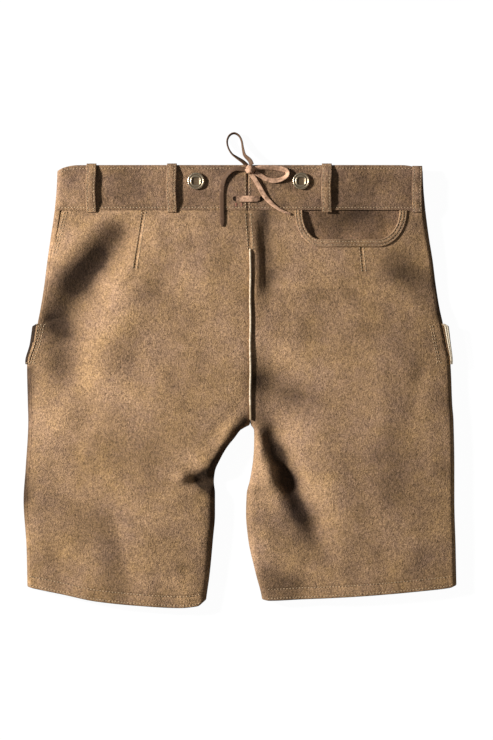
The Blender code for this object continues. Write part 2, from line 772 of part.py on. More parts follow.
def back_pocket():
    """The binding sewn round the scooped opening and the facing under it."""
    centre = []
    steps = 22
    for k in range(steps + 1):
        x, down, away_x, away_down = pocket_edge(k / steps)
        middle = BINDING_WIDTH / 2 + GAP
        centre.append((x + middle * away_x, down + middle * away_down, away_x, away_down))
    ribbon("back_pocket_binding", centre, BINDING_WIDTH / 2, "suede", GAP, BINDING_WALL)
    x0, x1 = POCKET_IN - FACING_MARGIN, POCKET_OUT + 6.0
    deep = BODY_ROWS[0] + POCKET_DEPTH + FACING_MARGIN
    grids = []
    for level in (0.0, TRIM_WALL):
        grid = []
        for row in (*FACING_ROWS, deep):
            line = []
            for column in range(FACING_COLUMNS):
                x = x0 + (x1 - x0) * column / (FACING_COLUMNS - 1)
                inside = min(x - x0, x1 - x, deep - row)
                sag = FACING_SAG * ramp((inside - FACING_MARGIN) / 12)
                under = back_height(RIGHT, x, row, 0.0) - PANEL_WALL - 0.5
                line.append((x, row, under - level - sag))
            grid.append(line)
        grids.append(grid)
    walled("back_pocket_facing", grids[0], grids[1], "suede_dark")


def knife_pocket_point(side, row, angle, upper, level):
    """A point over the outer fold, moved out by the side pocket's bulge."""
    first, last = KNIFE_POCKET_ROWS[0], KNIFE_POCKET_ROWS[-1]
    bulge = KNIFE_POCKET_BULGE * (1 - (row - first) / (last - first)) ** 0.7
    x, z = bend_point(side, row, angle, upper, -level, False)
    return x + side * bulge * math.cos(angle), row, z


def knife_pocket(side):
    """The pocket piece that shows outside the back's edge on a side seam."""
    grids = []
    for level in (GAP, GAP + TRIM_WALL):
        grid = []
        for row in KNIFE_POCKET_ROWS:
            start = seam_angle(side, row, -KNIFE_POCKET_TUCK)
            turns = ((start, True), (0.6 * start, True), (0.2 * start, True), (0.35, False))
            grid.append([knife_pocket_point(side, row, angle, upper, level) for angle, upper in turns])
        grids.append(grid)
    name = "knife_pocket_left" if side == LEFT else "knife_pocket_right"
    walled(name, grids[1], grids[0], "suede_dark")


def knife_pocket_edge():
    """The pale cut edge that lies on the right side pocket and stands out level."""
    grids = []
    for level in (0.0, CUT_EDGE_WALL):
        grid = []
        for row in KNIFE_POCKET_ROWS:
            turn = CUT_EDGE_TURN * seam_angle(RIGHT, row, -KNIFE_POCKET_TUCK)
            x0, _, z = knife_pocket_point(RIGHT, row, turn, True, GAP + TRIM_WALL + GAP)
            x1 = knife_pocket_point(RIGHT, row, 0.0, True, GAP + TRIM_WALL)[0]
            line = []
            for t in (0.0, 0.5, 1.0):
                line.append((x0 + t * (x1 - x0), row, z + level - CUT_EDGE_DROP * t * t))
            grid.append(line)
        grids.append(grid)
    walled("knife_pocket_edge_right", grids[1], grids[0], "piping")


def centre_piping():
    """The pale piping that stands along the centre back seam."""
    half = PIPING_WIDTH / 2
    near, middle = 0.85 * half, 0.4 * half
    section = ((-half, 0.0), (-near, 0.6), (-middle, 1.0), (middle, 1.0), (near, 0.6), (half, 0.0))
    grids = []
    for share in (0.0, 1.0):
        grid = []
        for row in PIPING_ROWS:
            line = []
            for out, up in section:
                x = inner_edge(LEFT, row) + out
                side = LEFT if out < 0 else RIGHT
                base = back_height(side, x, row, 0.0) + GAP
                line.append((x, row, base + PIPING_LIFT + share * (PIPING_HEIGHT * up + PIPING_RIM)))
            grid.append(line)
        grids.append(grid)
    walled("centre_piping", grids[1], grids[0], "piping")


# ---------------------------------------------------------------- lace

def band_top():
    """Height of the waistband at the centre back."""
    return back_height(RIGHT, inner_edge(RIGHT, BUTTON_DOWN), BUTTON_DOWN, 0.0)


def smooth_route(places, step):
    """Points a step apart on a smooth curve through the route's places."""
    points = [to_metres(p.x, p.down, band_top() + p.above) for p in places]
    ends = [points[0] * 2 - points[1], *points, points[-1] * 2 - points[-2]]
    fine = []
    for a, b, c, d in zip(ends, ends[1:], ends[2:], ends[3:]):
        for k in range(12):
            t = k / 12
            fine.append(
                0.5 * (2 * b + (c - a) * t + (2 * a - 5 * b + 4 * c - d) * t * t
                       + (3 * b - 3 * c + d - a) * t * t * t)
            )
    fine.append(points[-1])
    lengths = np.cumsum([0.0] + [(b - a).length for a, b in zip(fine, fine[1:])])
    count = max(int(round(lengths[-1] / (step * MM))), 4)
    even = []
    for at in np.linspace(0.0, lengths[-1], count + 1):
        even.append([float(np.interp(at, lengths, [p[n] for p in fine])) for n in range(3)])
    return even


def lace_stretch(name, places):
    """One free stretch of the lace."""
    route = smooth_route(places, LACE_STEP)
    curve = bpy.data.curves.new(name, "CURVE")
    curve.dimensions = "3D"
    curve.bevel_depth = LACE_RADIUS * MM
    curve.bevel_resolution = 2
    curve.use_fill_caps = True
    spline = curve.splines.new("POLY")
    spline.points.add(len(route) - 1)
    for point, place in zip(spline.points, route):
        point.co = (*place, 1.0)
    return link(name, curve, "lace")


def lace_knot():
    """The bow's knot, lying on the waistband."""
    mesh = bpy.data.meshes.new("lace_knot")
    ball = bmesh.new()
    bmesh.ops.create_uvsphere(ball, u_segments=14, v_segments=8, radius=1.0)
    for vert in ball.verts:
        vert.co = Vector([vert.co[n] * KNOT_SIZE[n] * MM for n in range(3)])
    ball.to_mesh(mesh)
    ball.free()
    mesh.shade_smooth()
    knot = link("lace_knot", mesh, "lace")
    knot.location = to_metres(*KNOT_AT, band_top() + KNOT_SIZE[2] + GAP)
    return knot


def lace_bar():
    """The lace's short cross stretch between the eyelets."""
    grids = []
    for level in (GAP, GAP + LACE_THICK):
        grid = []
        for k in range(7):
            x = EYELETS[0] + (EYELETS[1] - EYELETS[0]) * k / 6
            bow = LACE_BAR_BOW * math.sin(math.pi * k / 6)
            line = []
            for across in (-LACE_WIDTH / 2, LACE_WIDTH / 2):
                down = EYELET_DOWN + across
                line.append((x, down, back_height(RIGHT, x, down, 0.0) + level + bow))
            grid.append(line)
        grids.append(grid)
    walled("lace_bar", grids[1], grids[0], "lace")


# ---------------------------------------------------------------- the garment

def build():
    """Make every piece of the garment."""
    clear_scene()
    for side in (LEFT, RIGHT):
        back_panel(side)
        front_panel(side)
        waistband(side)
        knife_pocket(side)
    front_flap()
    back_pocket()
    knife_pocket_edge()
    centre_piping()
    for loop in BACK_LOOPS:
        side = LEFT if loop.x < 0 else RIGHT

        def over_band(x, down, side=side):
            return back_height(side, x, max(down, 0.0), 0.0)

        belt_loop(loop.name, loop.x, over_band, (loop.top, BACK_LOOP_BOTTOM), LOOP_OPEN)
    for name, out in (("belt_loop_front_left", -1), ("belt_loop_front_right", 1)):
        x = inner_edge(LEFT, 0.0) + out * FRONT_LOOP_OUT
        belt_loop(name, x, lambda x, down: -GAP, FRONT_LOOP_DOWN, 0.0)
    for name, x in BACK_BUTTONS:
        side = LEFT if x < 0 else RIGHT
        base = back_height(side, x, BACK_BUTTON_DOWN, 0.0) + GAP
        turned_button(name, x, BACK_BUTTON_DOWN, base, True)
    for name, out in (("button_front_left", -1), ("button_front_right", 1)):
        x = inner_edge(LEFT, BUTTON_DOWN) + out * FRONT_BUTTON_OUT
        turned_button(name, x, BUTTON_DOWN, FRONT_BUTTON_RISE - GAP, False)
    lace_knot()
    lace_bar()
    for name, places in LACE_ROUTES.items():
        lace_stretch(name, places)


build()
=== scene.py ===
"""Short suede breeches laid flat with the back up: the looks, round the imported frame.

Sizes are in millimetres and become metres where a mesh is made. X runs across the
garment, "down" is the distance from the waist's top edge towards the hems, and Z is
the height above the ground.
"""

import logging
import math
from dataclasses import dataclass, field
from enum import Enum
from typing import Callable, NamedTuple, Sequence

import bmesh
import bpy
import numpy as np
from bpy.types import Material, Node, NodeSocket, NodeTree, Object
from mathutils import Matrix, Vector

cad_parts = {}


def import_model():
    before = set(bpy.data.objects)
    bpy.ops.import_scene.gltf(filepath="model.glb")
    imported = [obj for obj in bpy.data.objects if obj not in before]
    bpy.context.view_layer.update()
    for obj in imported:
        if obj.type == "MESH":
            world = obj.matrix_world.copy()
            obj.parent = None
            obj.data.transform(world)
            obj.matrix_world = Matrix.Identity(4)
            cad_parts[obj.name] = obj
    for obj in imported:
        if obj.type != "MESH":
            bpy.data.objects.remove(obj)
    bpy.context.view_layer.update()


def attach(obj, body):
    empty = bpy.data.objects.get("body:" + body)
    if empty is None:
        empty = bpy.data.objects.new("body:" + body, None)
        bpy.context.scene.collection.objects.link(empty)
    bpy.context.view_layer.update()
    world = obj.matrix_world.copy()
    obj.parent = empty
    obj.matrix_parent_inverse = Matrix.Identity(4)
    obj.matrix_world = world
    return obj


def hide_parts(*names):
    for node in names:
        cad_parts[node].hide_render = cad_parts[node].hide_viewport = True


Array = np.ndarray
Colour = tuple[float, float, float, float]

MM = 0.001
GAP = 0.3
BODY = "root"
LOG = logging.getLogger("breeches")


class Half(Enum):
    """A half of the garment, with the sign of its X."""

    LEFT = -1
    RIGHT = 1


class Slot(Enum):
    """The record's material slots."""

    SUEDE = "suede"
    UNDER = "suede_under"
    PIPING = "piping"
    LACE = "lace"
    METAL = "button_metal"


# ------------------------------------------------------------------ sizes


class Side(NamedTuple):
    """Distance from the middle to each outer edge."""

    down: float
    left: float
    right: float


class Lift(NamedTuple):
    """Heights of the outer fold, a half's middle and the inner fold, and the centre's dip."""

    down: float
    side: float
    middle: float
    inner: float
    dip: float


class Hem(NamedTuple):
    """The hem's distance down at a place across."""

    x: float
    down: float


class Fold(NamedTuple):
    """A soft ridge (height above 0) or trough, from one end to the other."""

    x0: float
    down0: float
    x1: float
    down1: float
    reach: float
    height: float


OUTLINE = (
    Side(-10, 214.5, 214.5),
    Side(0, 215.0, 215.0),
    Side(25, 216.0, 216.0),
    Side(53, 218.5, 218.5),
    Side(84, 223.0, 222.5),
    Side(112, 227.0, 227.0),
    Side(140, 230.5, 230.5),
    Side(168, 235.0, 235.0),
    Side(186, 238.5, 239.0),
    Side(210, 243.5, 243.5),
    Side(234, 251.0, 248.0),
    Side(281, 250.0, 250.0),
    Side(300, 249.5, 251.5),
    Side(356, 252.5, 252.5),
    Side(394, 255.0, 252.5),
    Side(450, 251.5, 254.0),
    Side(498, 250.5, 255.0),
    Side(530, 250.0, 256.0),
)
INNER = (
    Side(-10, 9.0, 9.0),
    Side(44, 9.0, 9.0),
    Side(100, 12.2, 12.2),
    Side(304, 12.2, 12.2),
    Side(311, 1.0, 16.4),
    Side(320, -6.0, 16.6),
    Side(332, -15.5, 16.4),
    Side(346, -23.5, 15.4),
    Side(360, -29.5, 13.4),
    Side(372, -30.8, 11.2),
    Side(386, -29.4, 7.8),
    Side(410, -29.4, 7.0),
    Side(440, -31.8, 9.6),
    Side(480, -35.6, 18.4),
    Side(512, -40.0, 26.0),
    Side(530, -42.0, 27.0),
)
SEAM_IN = (
    Side(-10, 8.5, 5.0),
    Side(53, 8.5, 5.0),
    Side(106, 4.0, 4.5),
    Side(186, 4.5, 5.0),
    Side(234, 5.2, 4.0),
    Side(530, 5.2, 4.5),
)
LIFTS = (
    Lift(-10, 11.0, 13.4, 13.0, 0.0),
    Lift(53, 11.0, 13.6, 13.0, 0.0),
    Lift(100, 11.0, 16.0, 13.0, 0.1),
    Lift(166, 11.5, 18.5, 13.5, 0.2),
    Lift(250, 12.0, 20.5, 14.0, 0.5),
    Lift(304, 12.5, 21.5, 15.0, 0.9),
    Lift(360, 13.0, 22.5, 15.0, 1.0),
    Lift(420, 13.0, 21.5, 14.5, 1.0),
    Lift(470, 12.5, 18.5, 13.5, 1.0),
    Lift(530, 12.0, 16.0, 12.5, 1.0),
)
HEM_LEFT = (
    Hem(-256, 494.5), Hem(-250, 496.0), Hem(-206, 505.0), Hem(-170, 512.5), Hem(-117, 518.0),
    Hem(-70, 520.5), Hem(-50, 518.5), Hem(-40, 512.0),
)
HEM_RIGHT = (
    Hem(26, 511.0), Hem(34, 512.0), Hem(70, 510.5), Hem(144, 506.5), Hem(220, 500.0),
    Hem(246, 497.0), Hem(256, 494.0),
)
FOLDS = (
    Fold(-168, 66, -218, 128, 17, 4.5),
    Fold(-140, 88, -196, 160, 17, -7.0),
    Fold(-128, 150, -158, 236, 26, 4.0),
    Fold(-212, 196, -190, 252, 20, -3.5),
    Fold(27, 62, 33, 136, 10, -3.5),
    Fold(34, 236, 44, 300, 20, -4.0),
    Fold(40, 318, 60, 372, 12, -7.5),
    Fold(60, 372, 86, 420, 15, -6.5),
    Fold(19, 318, 32, 366, 9, 4.0),
    Fold(92, 330, 118, 410, 26, 3.5),
    Fold(200, 116, 222, 150, 18, -3.5),
    Fold(-6, 318, -40, 352, 12, 4.0),
    Fold(-30, 371, -54, 368, 9, -8.0),
    Fold(-146, 428, -134, 476, 16, -2.6),
    Fold(42, 478, 66, 496, 18, -3.6),
    Fold(-206, 330, -196, 400, 24, -2.2),
    Fold(190, 300, 200, 400, 26, -2.0),
)
# Finer creases, which the frame's plain solids leave out.
CREASES = (
    Fold(-66, 367, -62, 367, 7.0, 5.5),
    Fold(55, 364, 64, 380, 11.0, 1.6),
    Fold(36, 360, 46, 392, 10.0, 2.8),
    Fold(57, 354, 70, 396, 9.0, -2.0),
    Fold(78, 402, 90, 424, 10.0, -1.4),
    Fold(29, 58, 32, 146, 6.5, -2.4),
    Fold(18, 60, 19, 150, 6.0, 0.9),
    Fold(-226, 182, -206, 178, 2.6, -1.8),
    Fold(-222, 178, -204, 186, 3.0, -1.4),
    Fold(-214, 190, -196, 204, 5.0, -0.9),
    Fold(-118, 122, -132, 142, 5.0, -0.8),
    Fold(-100, 70, -92, 104, 8.0, 0.9),
    Fold(-60, 64, -54, 92, 9.0, -0.9),
    Fold(0, 296, -16, 312, 5.0, 1.1),
    Fold(-2, 284, -26, 306, 6.0, -0.9),
    Fold(18, 300, 30, 322, 4.0, -1.0),
    Fold(-52, 382, -82, 392, 9.0, 0.9),
    Fold(-58, 358, -92, 352, 9.0, -0.7),
    Fold(92, 424, 104, 452, 12.0, -1.2),
    Fold(140, 150, 176, 172, 12.0, -0.8),
    Fold(176, 132, 204, 122, 9.0, -1.0),
    Fold(204, 168, 226, 176, 6.0, 0.9),
    Fold(64, 120, 108, 132, 12.0, 0.7),
    Fold(-196, 268, -214, 312, 10.0, 1.0),
    Fold(-178, 286, -188, 330, 10.0, -0.9),
    Fold(-90, 210, -60, 262, 16.0, -0.9),
    Fold(96, 210, 118, 270, 16.0, -0.9),
    Fold(150, 226, 168, 290, 18.0, 0.9),
    Fold(-110, 300, -96, 350, 18.0, 0.8),
    Fold(212, 240, 206, 286, 9.0, -0.9),
    Fold(-222, 440, -210, 486, 10.0, -1.0),
    Fold(226, 420, 216, 470, 12.0, -0.9),
    Fold(-76, 470, -66, 506, 8.0, 0.9),
    Fold(-98, 478, -92, 506, 8.0, -0.8),
    Fold(118, 470, 124, 496, 9.0, 0.8),
    Fold(168, 462, 172, 492, 9.0, -0.7),
    Fold(-46, 440, -58, 496, 9.0, 1.2),
    Fold(24, 430, 40, 470, 10.0, 1.1),
)
# The front rests on the ground, so its creases only rise.
FRONT_CREASES = (
    Fold(-150, 230, -60, 262, 9.0, 1.2),
    Fold(60, 250, 160, 226, 10.0, 1.1),
    Fold(-190, 320, -140, 360, 11.0, 1.3),
    Fold(150, 350, 200, 318, 9.0, 1.2),
    Fold(-100, 420, -80, 470, 10.0, 1.0),
    Fold(110, 430, 96, 480, 11.0, 1.0),
    Fold(-20, 210, -6, 280, 6.0, 1.1),
    Fold(34, 206, 30, 276, 6.0, 1.0),
    Fold(-196, 110, -150, 126, 8.0, 1.0),
    Fold(170, 118, 204, 104, 8.0, 1.0),
)


@dataclass(frozen=True)
class Reading:
    """A size that changes from place to place, read on a smooth curve."""

    places: tuple[float, ...]
    values: tuple[float, ...]

    @staticmethod
    def of(table: Sequence[NamedTuple], column: str, key: str = "down") -> "Reading":
        """Take a column of a table.

        Args:
            table: rows in rising order of the key.
            column: the column to read.
            key: the column that says where each row is.

        Returns:
            The column as a smooth reading.
        """
        places = tuple(float(getattr(row, key)) for row in table)
        return Reading(places, tuple(float(getattr(row, column)) for row in table))

    def __call__(self, at: Array | float) -> Array:
        """Read the size.

        Args:
            at: where to read it.

        Returns:
            The size there, held beyond the ends.
        """
        keys = np.array(self.places)
        values = np.array(self.values)
        at = np.clip(np.asarray(at, float), keys[0], keys[-1])
        k = np.clip(np.searchsorted(keys, at) - 1, 0, len(keys) - 2)
        rises = np.diff(values) / np.diff(keys)
        before = np.concatenate([rises[:1], rises])
        after = np.concatenate([rises, rises[-1:]])
        same_way = before * after > 0
        safe = np.where(same_way, before + after, 1.0)
        slopes = np.where(same_way, 2 * before * after / safe, 0.0)
        span = keys[k + 1] - keys[k]
        t = (at - keys[k]) / span
        square, cube = t * t, t * t * t
        return (
            values[k] * (2 * cube - 3 * square + 1)
            + values[k + 1] * (3 * square - 2 * cube)
            + slopes[k] * span * (cube - 2 * square + t)
            + slopes[k + 1] * span * (cube - square)
        )


def ramp(t: Array | float) -> Array:
    """Rise smoothly from 0 at t = 0 to 1 at t = 1."""
    t = np.clip(t, 0.0, 1.0)
    return t * t * (3 - 2 * t)


def soft_noise(x: Array, y: Array, size: float, seed: int) -> Array:
    """Make even, soft lumps.

    Args:
        x: places across.
        y: places down.
        size: the lumps' size, in the places' units.
        seed: which lumps.

    Returns:
        Values from -1 to 1.
    """
    lattice = np.random.RandomState(seed).uniform(-1, 1, (64, 64))
    gx, gy = x / size + 31.7, y / size + 11.3
    ix, iy = np.floor(gx).astype(int), np.floor(gy).astype(int)
    tx, ty = ramp(gx - ix), ramp(gy - iy)
    corner = [[lattice[(ix + i) % 64, (iy + j) % 64] for j in (0, 1)] for i in (0, 1)]
    top = corner[0][0] * (1 - tx) + corner[1][0] * tx
    low = corner[0][1] * (1 - tx) + corner[1][1] * tx
    return top * (1 - ty) + low * ty


def fold_sum(folds: Sequence[Fold], x: Array, down: Array) -> Array:
    """Add up ridges and troughs.

    Args:
        folds: the ridges and troughs.
        x: places across.
        down: places down.

    Returns:
        The height that they give at each place.
    """
    total = np.zeros(np.broadcast(x, down).shape)
    for fold in folds:
        run = np.array([fold.x1 - fold.x0, fold.down1 - fold.down0])
        length = float(np.hypot(*run))
        along = ((x - fold.x0) * run[0] + (down - fold.down0) * run[1]) / length
        beyond = np.maximum(np.maximum(-along, along - length), 0.0)
        across = ((x - fold.x0) * run[1] - (down - fold.down0) * run[0]) / length
        far = (across / fold.reach) ** 2 + (beyond / (1.4 * fold.reach)) ** 2
        total = total + fold.height * np.exp(-far)
    return total


@dataclass(frozen=True)
class GarmentForm:
    """The laid garment's outer faces, as heights over places across and down."""

    waist_y: float = 259.0
    band_height: float = 53.0
    crotch_down: float = 304.0
    band_wall: float = 2.6
    panel_wall: float = 1.8
    hem_wall: float = 3.2
    side_bend: float = 7.0
    inseam_bend: float = 9.0
    crotch_bend: float = 26.0
    bend_fade: float = 12.0
    lowest_back: float = 7.6
    fold_start: float = 45.0
    fold_grow: float = 35.0
    lump: float = 0.45
    flap_half: float = 88.0
    flap_taper: float = 14.0
    flap_bottom: float = 185.0
    front_button_out: float = 71.0
    front_button_down: float = 17.0
    front_button_rise: float = 4.1
    front_loop_out: float = 150.0
    loop_width: float = 11.5
    rise_margin: float = 1.5
    rise_ramp: float = 10.0

    def place(self, x: Array, down: Array, z: Array) -> Array:
        """Turn places and heights into points of the frame, in metres."""
        x, down, z = np.broadcast_arrays(x, down, z)
        return np.stack([x, self.waist_y - down, z], axis=-1) * MM

    def outer(self, half: Half, down: Array) -> Array:
        """Place across of a half's outer edge."""
        return half.value * Reading.of(OUTLINE, half.name.lower())(down)

    def inner(self, half: Half, down: Array) -> Array:
        """Place across of a leg's inner edge, or of the centre seam above the crotch."""
        return Reading.of(INNER, half.name.lower())(down)

    def seam_in(self, half: Half, down: Array) -> Array:
        """How far in from the outer edge the side seam lies."""
        return Reading.of(SEAM_IN, half.name.lower())(down)

    def hem(self, half: Half, x: Array) -> Array:
        """How far down the hem's edge is at a place across."""
        return Reading.of(HEM_LEFT if half is Half.LEFT else HEM_RIGHT, "down", "x")(x)

    def fine(self, x: Array, down: Array) -> Array:
        """Fine creases and lumps of the back, none of them on the waistband."""
        lumps = 0.6 * soft_noise(x, down, 34, 3) + 0.4 * soft_noise(x, down, 15, 5)
        grown = ramp((down - self.band_height) / 20)
        return (fold_sum(CREASES, x, down) + self.lump * lumps) * grown

    def full(self, half: Half, x: Array, down: Array) -> Array:
        """Height of the back away from its edges.

        Args:
            half: the half that the places are on.
            x: places across.
            down: places down.

        Returns:
            The outer face's height at each place.
        """
        inner, outer = self.inner(half, down), self.outer(half, down)
        c = np.clip((x - inner) / (outer - inner), 0.0, 1.0)
        low = Reading.of(LIFTS, "inner")(down) * (1 - c) + Reading.of(LIFTS, "side")(down) * c
        crown = (1 - c ** 4) * (1 - Reading.of(LIFTS, "dip")(down) * (1 - c) ** 4)
        grown = ramp((down - self.fold_start) / self.fold_grow)
        height = low + (Reading.of(LIFTS, "middle")(down) - low) * crown
        height = height + fold_sum(FOLDS, x, down) * grown
        height = np.maximum(height, self.lowest_back + 0.3 * (height - self.lowest_back))
        return height + self.fine(x, down)

    def meet(self, down: Array, inseam: bool) -> Array:
        """Height at which the back and the front meet along an edge."""
        return 0.5 * Reading.of(LIFTS, "inner" if inseam else "side")(down)

    def bend(self, down: Array) -> Array:
        """Half width of the fold along the inner edge."""
        below = np.maximum(down - self.crotch_down, 0.0)
        extra = (self.crotch_bend - self.inseam_bend) * np.exp(-below / self.bend_fade)
        return self.inseam_bend + extra

    def flap_edge(self, down: Array) -> Array:
        """Half width of the front's drop flap."""
        span = self.flap_bottom - self.band_height
        return self.flap_half - self.flap_taper * ramp((down - self.band_height) / span)

    def button_rise(self, x: Array, down: Array) -> Array:
        """How far a front button lifts what lies over it."""
        out = np.abs(x - self.inner(Half.LEFT, down)) - self.front_button_out
        far = np.hypot(out, down - self.front_button_down)
        return self.front_button_rise * ramp(1 - (far - 14) / 18)

    def rise(self, x: Array, down: Array) -> Array:
        """Height of the front's outer face above the ground.

        Args:
            x: places across.
            down: places down.

        Returns:
            The height, which is 0 except over the flap, its buttons and the loops.
        """
        centre = self.inner(Half.LEFT, np.minimum(down, self.crotch_down))
        beyond = np.maximum(np.abs(x - centre) - self.flap_edge(down), down - self.flap_bottom)
        over_flap = ramp(1 - (beyond - self.rise_margin) / self.rise_ramp)
        beside = np.abs(np.abs(x - centre) - self.front_loop_out) - self.loop_width / 2
        over_loop = ramp(1 - (beside - self.rise_margin) / self.rise_ramp)
        over_loop = over_loop * (down <= self.band_height)
        covered = (self.panel_wall + GAP) * np.maximum(over_flap, over_loop)
        clear = ramp((beyond - 12) / 10) * ramp((down - self.band_height) / 20)
        creases = np.maximum(fold_sum(FRONT_CREASES, x, down), 0.0) * clear
        return self.button_rise(x, down) + covered + creases

    def near_crotch(self, half: Half, x: Array, down: Array, wall: Array) -> Array:
        """How far up its rounding towards the crotch a point above it is, from 0 to 1."""
        far = np.hypot(x - self.inner(half, down), self.crotch_down - down)
        share = np.clip((far - wall) / (self.crotch_bend - wall), 0.0, 1.0)
        return np.where(down >= self.crotch_down, 1.0, np.sqrt(1 - (1 - share) ** 2))

    def back(self, half: Half, x: Array, down: Array, wall: Array | float) -> Array:
        """Height of the back, on its outer face (wall = 0) or its inner one."""
        meet = self.meet(down, True)
        reach = self.near_crotch(half, x, down, wall)
        return meet + (self.full(half, x, down) - wall - meet) * reach

    def front(self, half: Half, x: Array, down: Array, wall: Array | float) -> Array:
        """Height of the front, on its outer face (wall = 0) or its inner one."""
        meet = self.meet(down, True)
        reach = self.near_crotch(half, x, down, wall)
        return meet - (meet - self.rise(x, down) - wall) * reach

    def edge(
        self, half: Half, down: Array, angle: Array, upper: bool, wall: Array | float,
        inseam: bool,
    ) -> tuple[Array, Array]:
        """Follow the fold along an edge.

        Args:
            half: the half that the edge is on.
            down: places down.
            angle: 0 at the fold's tip, a quarter turn where it is level.
            upper: over the tip, towards the back, or under it.
            wall: 0 for the outer face, or how far inside it.
            inseam: the leg's inner edge and not its outer one.

        Returns:
            Places across and heights.
        """
        if inseam:
            tip, bend, inward = self.inner(half, down), self.bend(down), half.value
        else:
            tip, bend, inward = self.outer(half, down), self.side_bend, -half.value
        meet = self.meet(down, inseam)
        x = tip + inward * (wall + (bend - wall) * (1 - np.cos(angle)))
        if upper:
            reach = self.full(half, x, down) - wall - meet
            return x, meet + GAP / 2 * inseam + reach * np.sin(angle)
        reach = meet - self.rise(x, down) - wall
        return x, meet - GAP / 2 * inseam - reach * np.sin(angle)

    def seam_angle(self, half: Half, down: Array, more: float) -> Array:
        """Angle on the outer fold of the side seam, moved inward by a distance."""
        far = np.minimum(self.seam_in(half, down), self.side_bend - 0.5) + more
        return np.arccos(1 - far / self.side_bend)

    def top(self, x: float, down: float) -> float:
        """Height of the back at one place of either half."""
        x, down = np.array([float(x)]), np.array([float(down)])
        half = Half.LEFT if x[0] < self.inner(Half.LEFT, down)[0] else Half.RIGHT
        return float(self.back(half, x, down, 0.0)[0])

    def tops(self, x: Array, down: Array) -> Array:
        """Height of the back at places of either half."""
        on_left = x < self.inner(Half.LEFT, down)
        left = self.back(Half.LEFT, x, down, 0.0)
        return np.where(on_left, left, self.back(Half.RIGHT, x, down, 0.0))


# ------------------------------------------------------------------ meshes


class Workshop:
    """Turns grids of points into finished pieces."""

    def __init__(self, form: GarmentForm) -> None:
        """Keep the form that places pieces."""
        self.form = form

    def piece(
        self, name: str, verts: Array, faces: list[tuple[int, ...]],
        material: Material, slot: Slot,
    ) -> Object:
        """Make a piece that rides with the garment.

        Args:
            name: the piece's name.
            verts: its points, in metres.
            faces: its faces, as indices of points.
            material: its finish.
            slot: the record's slot for that finish; not used.

        Returns:
            The piece.
        """
        mesh = bpy.data.meshes.new(name)
        mesh.from_pydata(verts.reshape(-1, 3).tolist(), [], faces)
        shape = bmesh.new()
        shape.from_mesh(mesh)
        bmesh.ops.recalc_face_normals(shape, faces=shape.faces)
        shape.to_mesh(mesh)
        shape.free()
        mesh.shade_smooth()
        mesh.set_sharp_from_angle(angle=math.radians(52))
        mesh.materials.append(material)
        thing = bpy.data.objects.new(name, mesh)
        bpy.context.scene.collection.objects.link(thing)
        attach(thing, BODY)
        LOG.info("%s: %d faces", name, len(mesh.polygons))
        return thing

    def wall(
        self, name: str, outer: Array, inner: Array, material: Material,
        slot: Slot, tone: Array | None = None,
    ) -> Object:
        """Close a wall between two grids of points.

        Args:
            name: the piece's name.
            outer: the outer face's points, by row and column.
            inner: the inner face's points.
            material: its finish.
            slot: the record's slot for that finish.
            tone: how much darker (below 0) or lighter each outer point is, if it varies.

        Returns:
            The piece, with a rounded rim.
        """
        rows, columns = outer.shape[:2]
        index = np.arange(rows * columns).reshape(rows, columns)
        faces: list[tuple[int, ...]] = []
        for shift in (0, rows * columns):
            grid = index + shift
            quads = np.stack([grid[:-1, :-1], grid[:-1, 1:], grid[1:, 1:], grid[1:, :-1]], axis=-1)
            faces += [tuple(q) for q in quads.reshape(-1, 4).tolist()]
        rim = np.concatenate([index[0, :], index[1:, -1], index[-1, -2::-1], index[-2:0:-1, 0]])
        points = [outer.reshape(-1, 3), inner.reshape(-1, 3)]
        first = 2 * rows * columns
        middle = 0.5 * (points[0][rim] + points[1][rim])
        inward = [index[1, :], index[1:, -2], index[-2, -2::-1], index[-2:0:-1, 1]]
        inside = 0.5 * (points[0] + points[1])[np.concatenate(inward)]
        away = middle - inside
        away /= np.maximum(np.linalg.norm(away, axis=1, keepdims=True), 1e-9)
        points.append(middle + 0.12 * MM * away)
        count = len(rim)
        for k in range(count):
            a, b = int(rim[k]), int(rim[(k + 1) % count])
            m, n = first + k, first + (k + 1) % count
            faces.append((a, b, n, m))
            faces.append((m, n, b + rows * columns, a + rows * columns))
        thing = self.piece(name, np.concatenate(points), faces, material, slot)
        shades = np.zeros(first + count)
        if tone is not None:
            shades[: rows * columns] = tone.reshape(-1)
            shades[first:] = tone.reshape(-1)[rim]
        self.shade(thing, shades)
        return thing

    def shade(self, thing: Object, tone: Array) -> None:
        """Store how much darker or lighter each point is."""
        layer = thing.data.attributes.new("tone", "FLOAT", "POINT")
        layer.data.foreach_set("value", tone.astype(np.float32))

    def ribbon(
        self, name: str, centre: Array, across: Array, outs: Sequence[float],
        over: Sequence[float], under: Sequence[float], material: Material, slot: Slot,
    ) -> Object:
        """Lay a strip on the back.

        Args:
            name: the piece's name.
            centre: its middle line, as rows of (x, down).
            across: the direction across it at each row.
            outs: its columns' distances from the middle line.
            over: how far each column's upper face is over the back.
            under: how far each column's lower face is over the back.
            material: its finish.
            slot: the record's slot for that finish.

        Returns:
            The piece.
        """
        x = centre[:, None, 0] + across[:, None, 0] * np.array(outs)[None]
        down = centre[:, None, 1] + across[:, None, 1] * np.array(outs)[None]
        base = self.form.tops(x, down)
        outer = self.form.place(x, down, base + np.array(over)[None])
        inner = self.form.place(x, down, base + np.array(under)[None])
        return self.wall(name, outer, inner, material, slot)


# ------------------------------------------------------------------ finishes


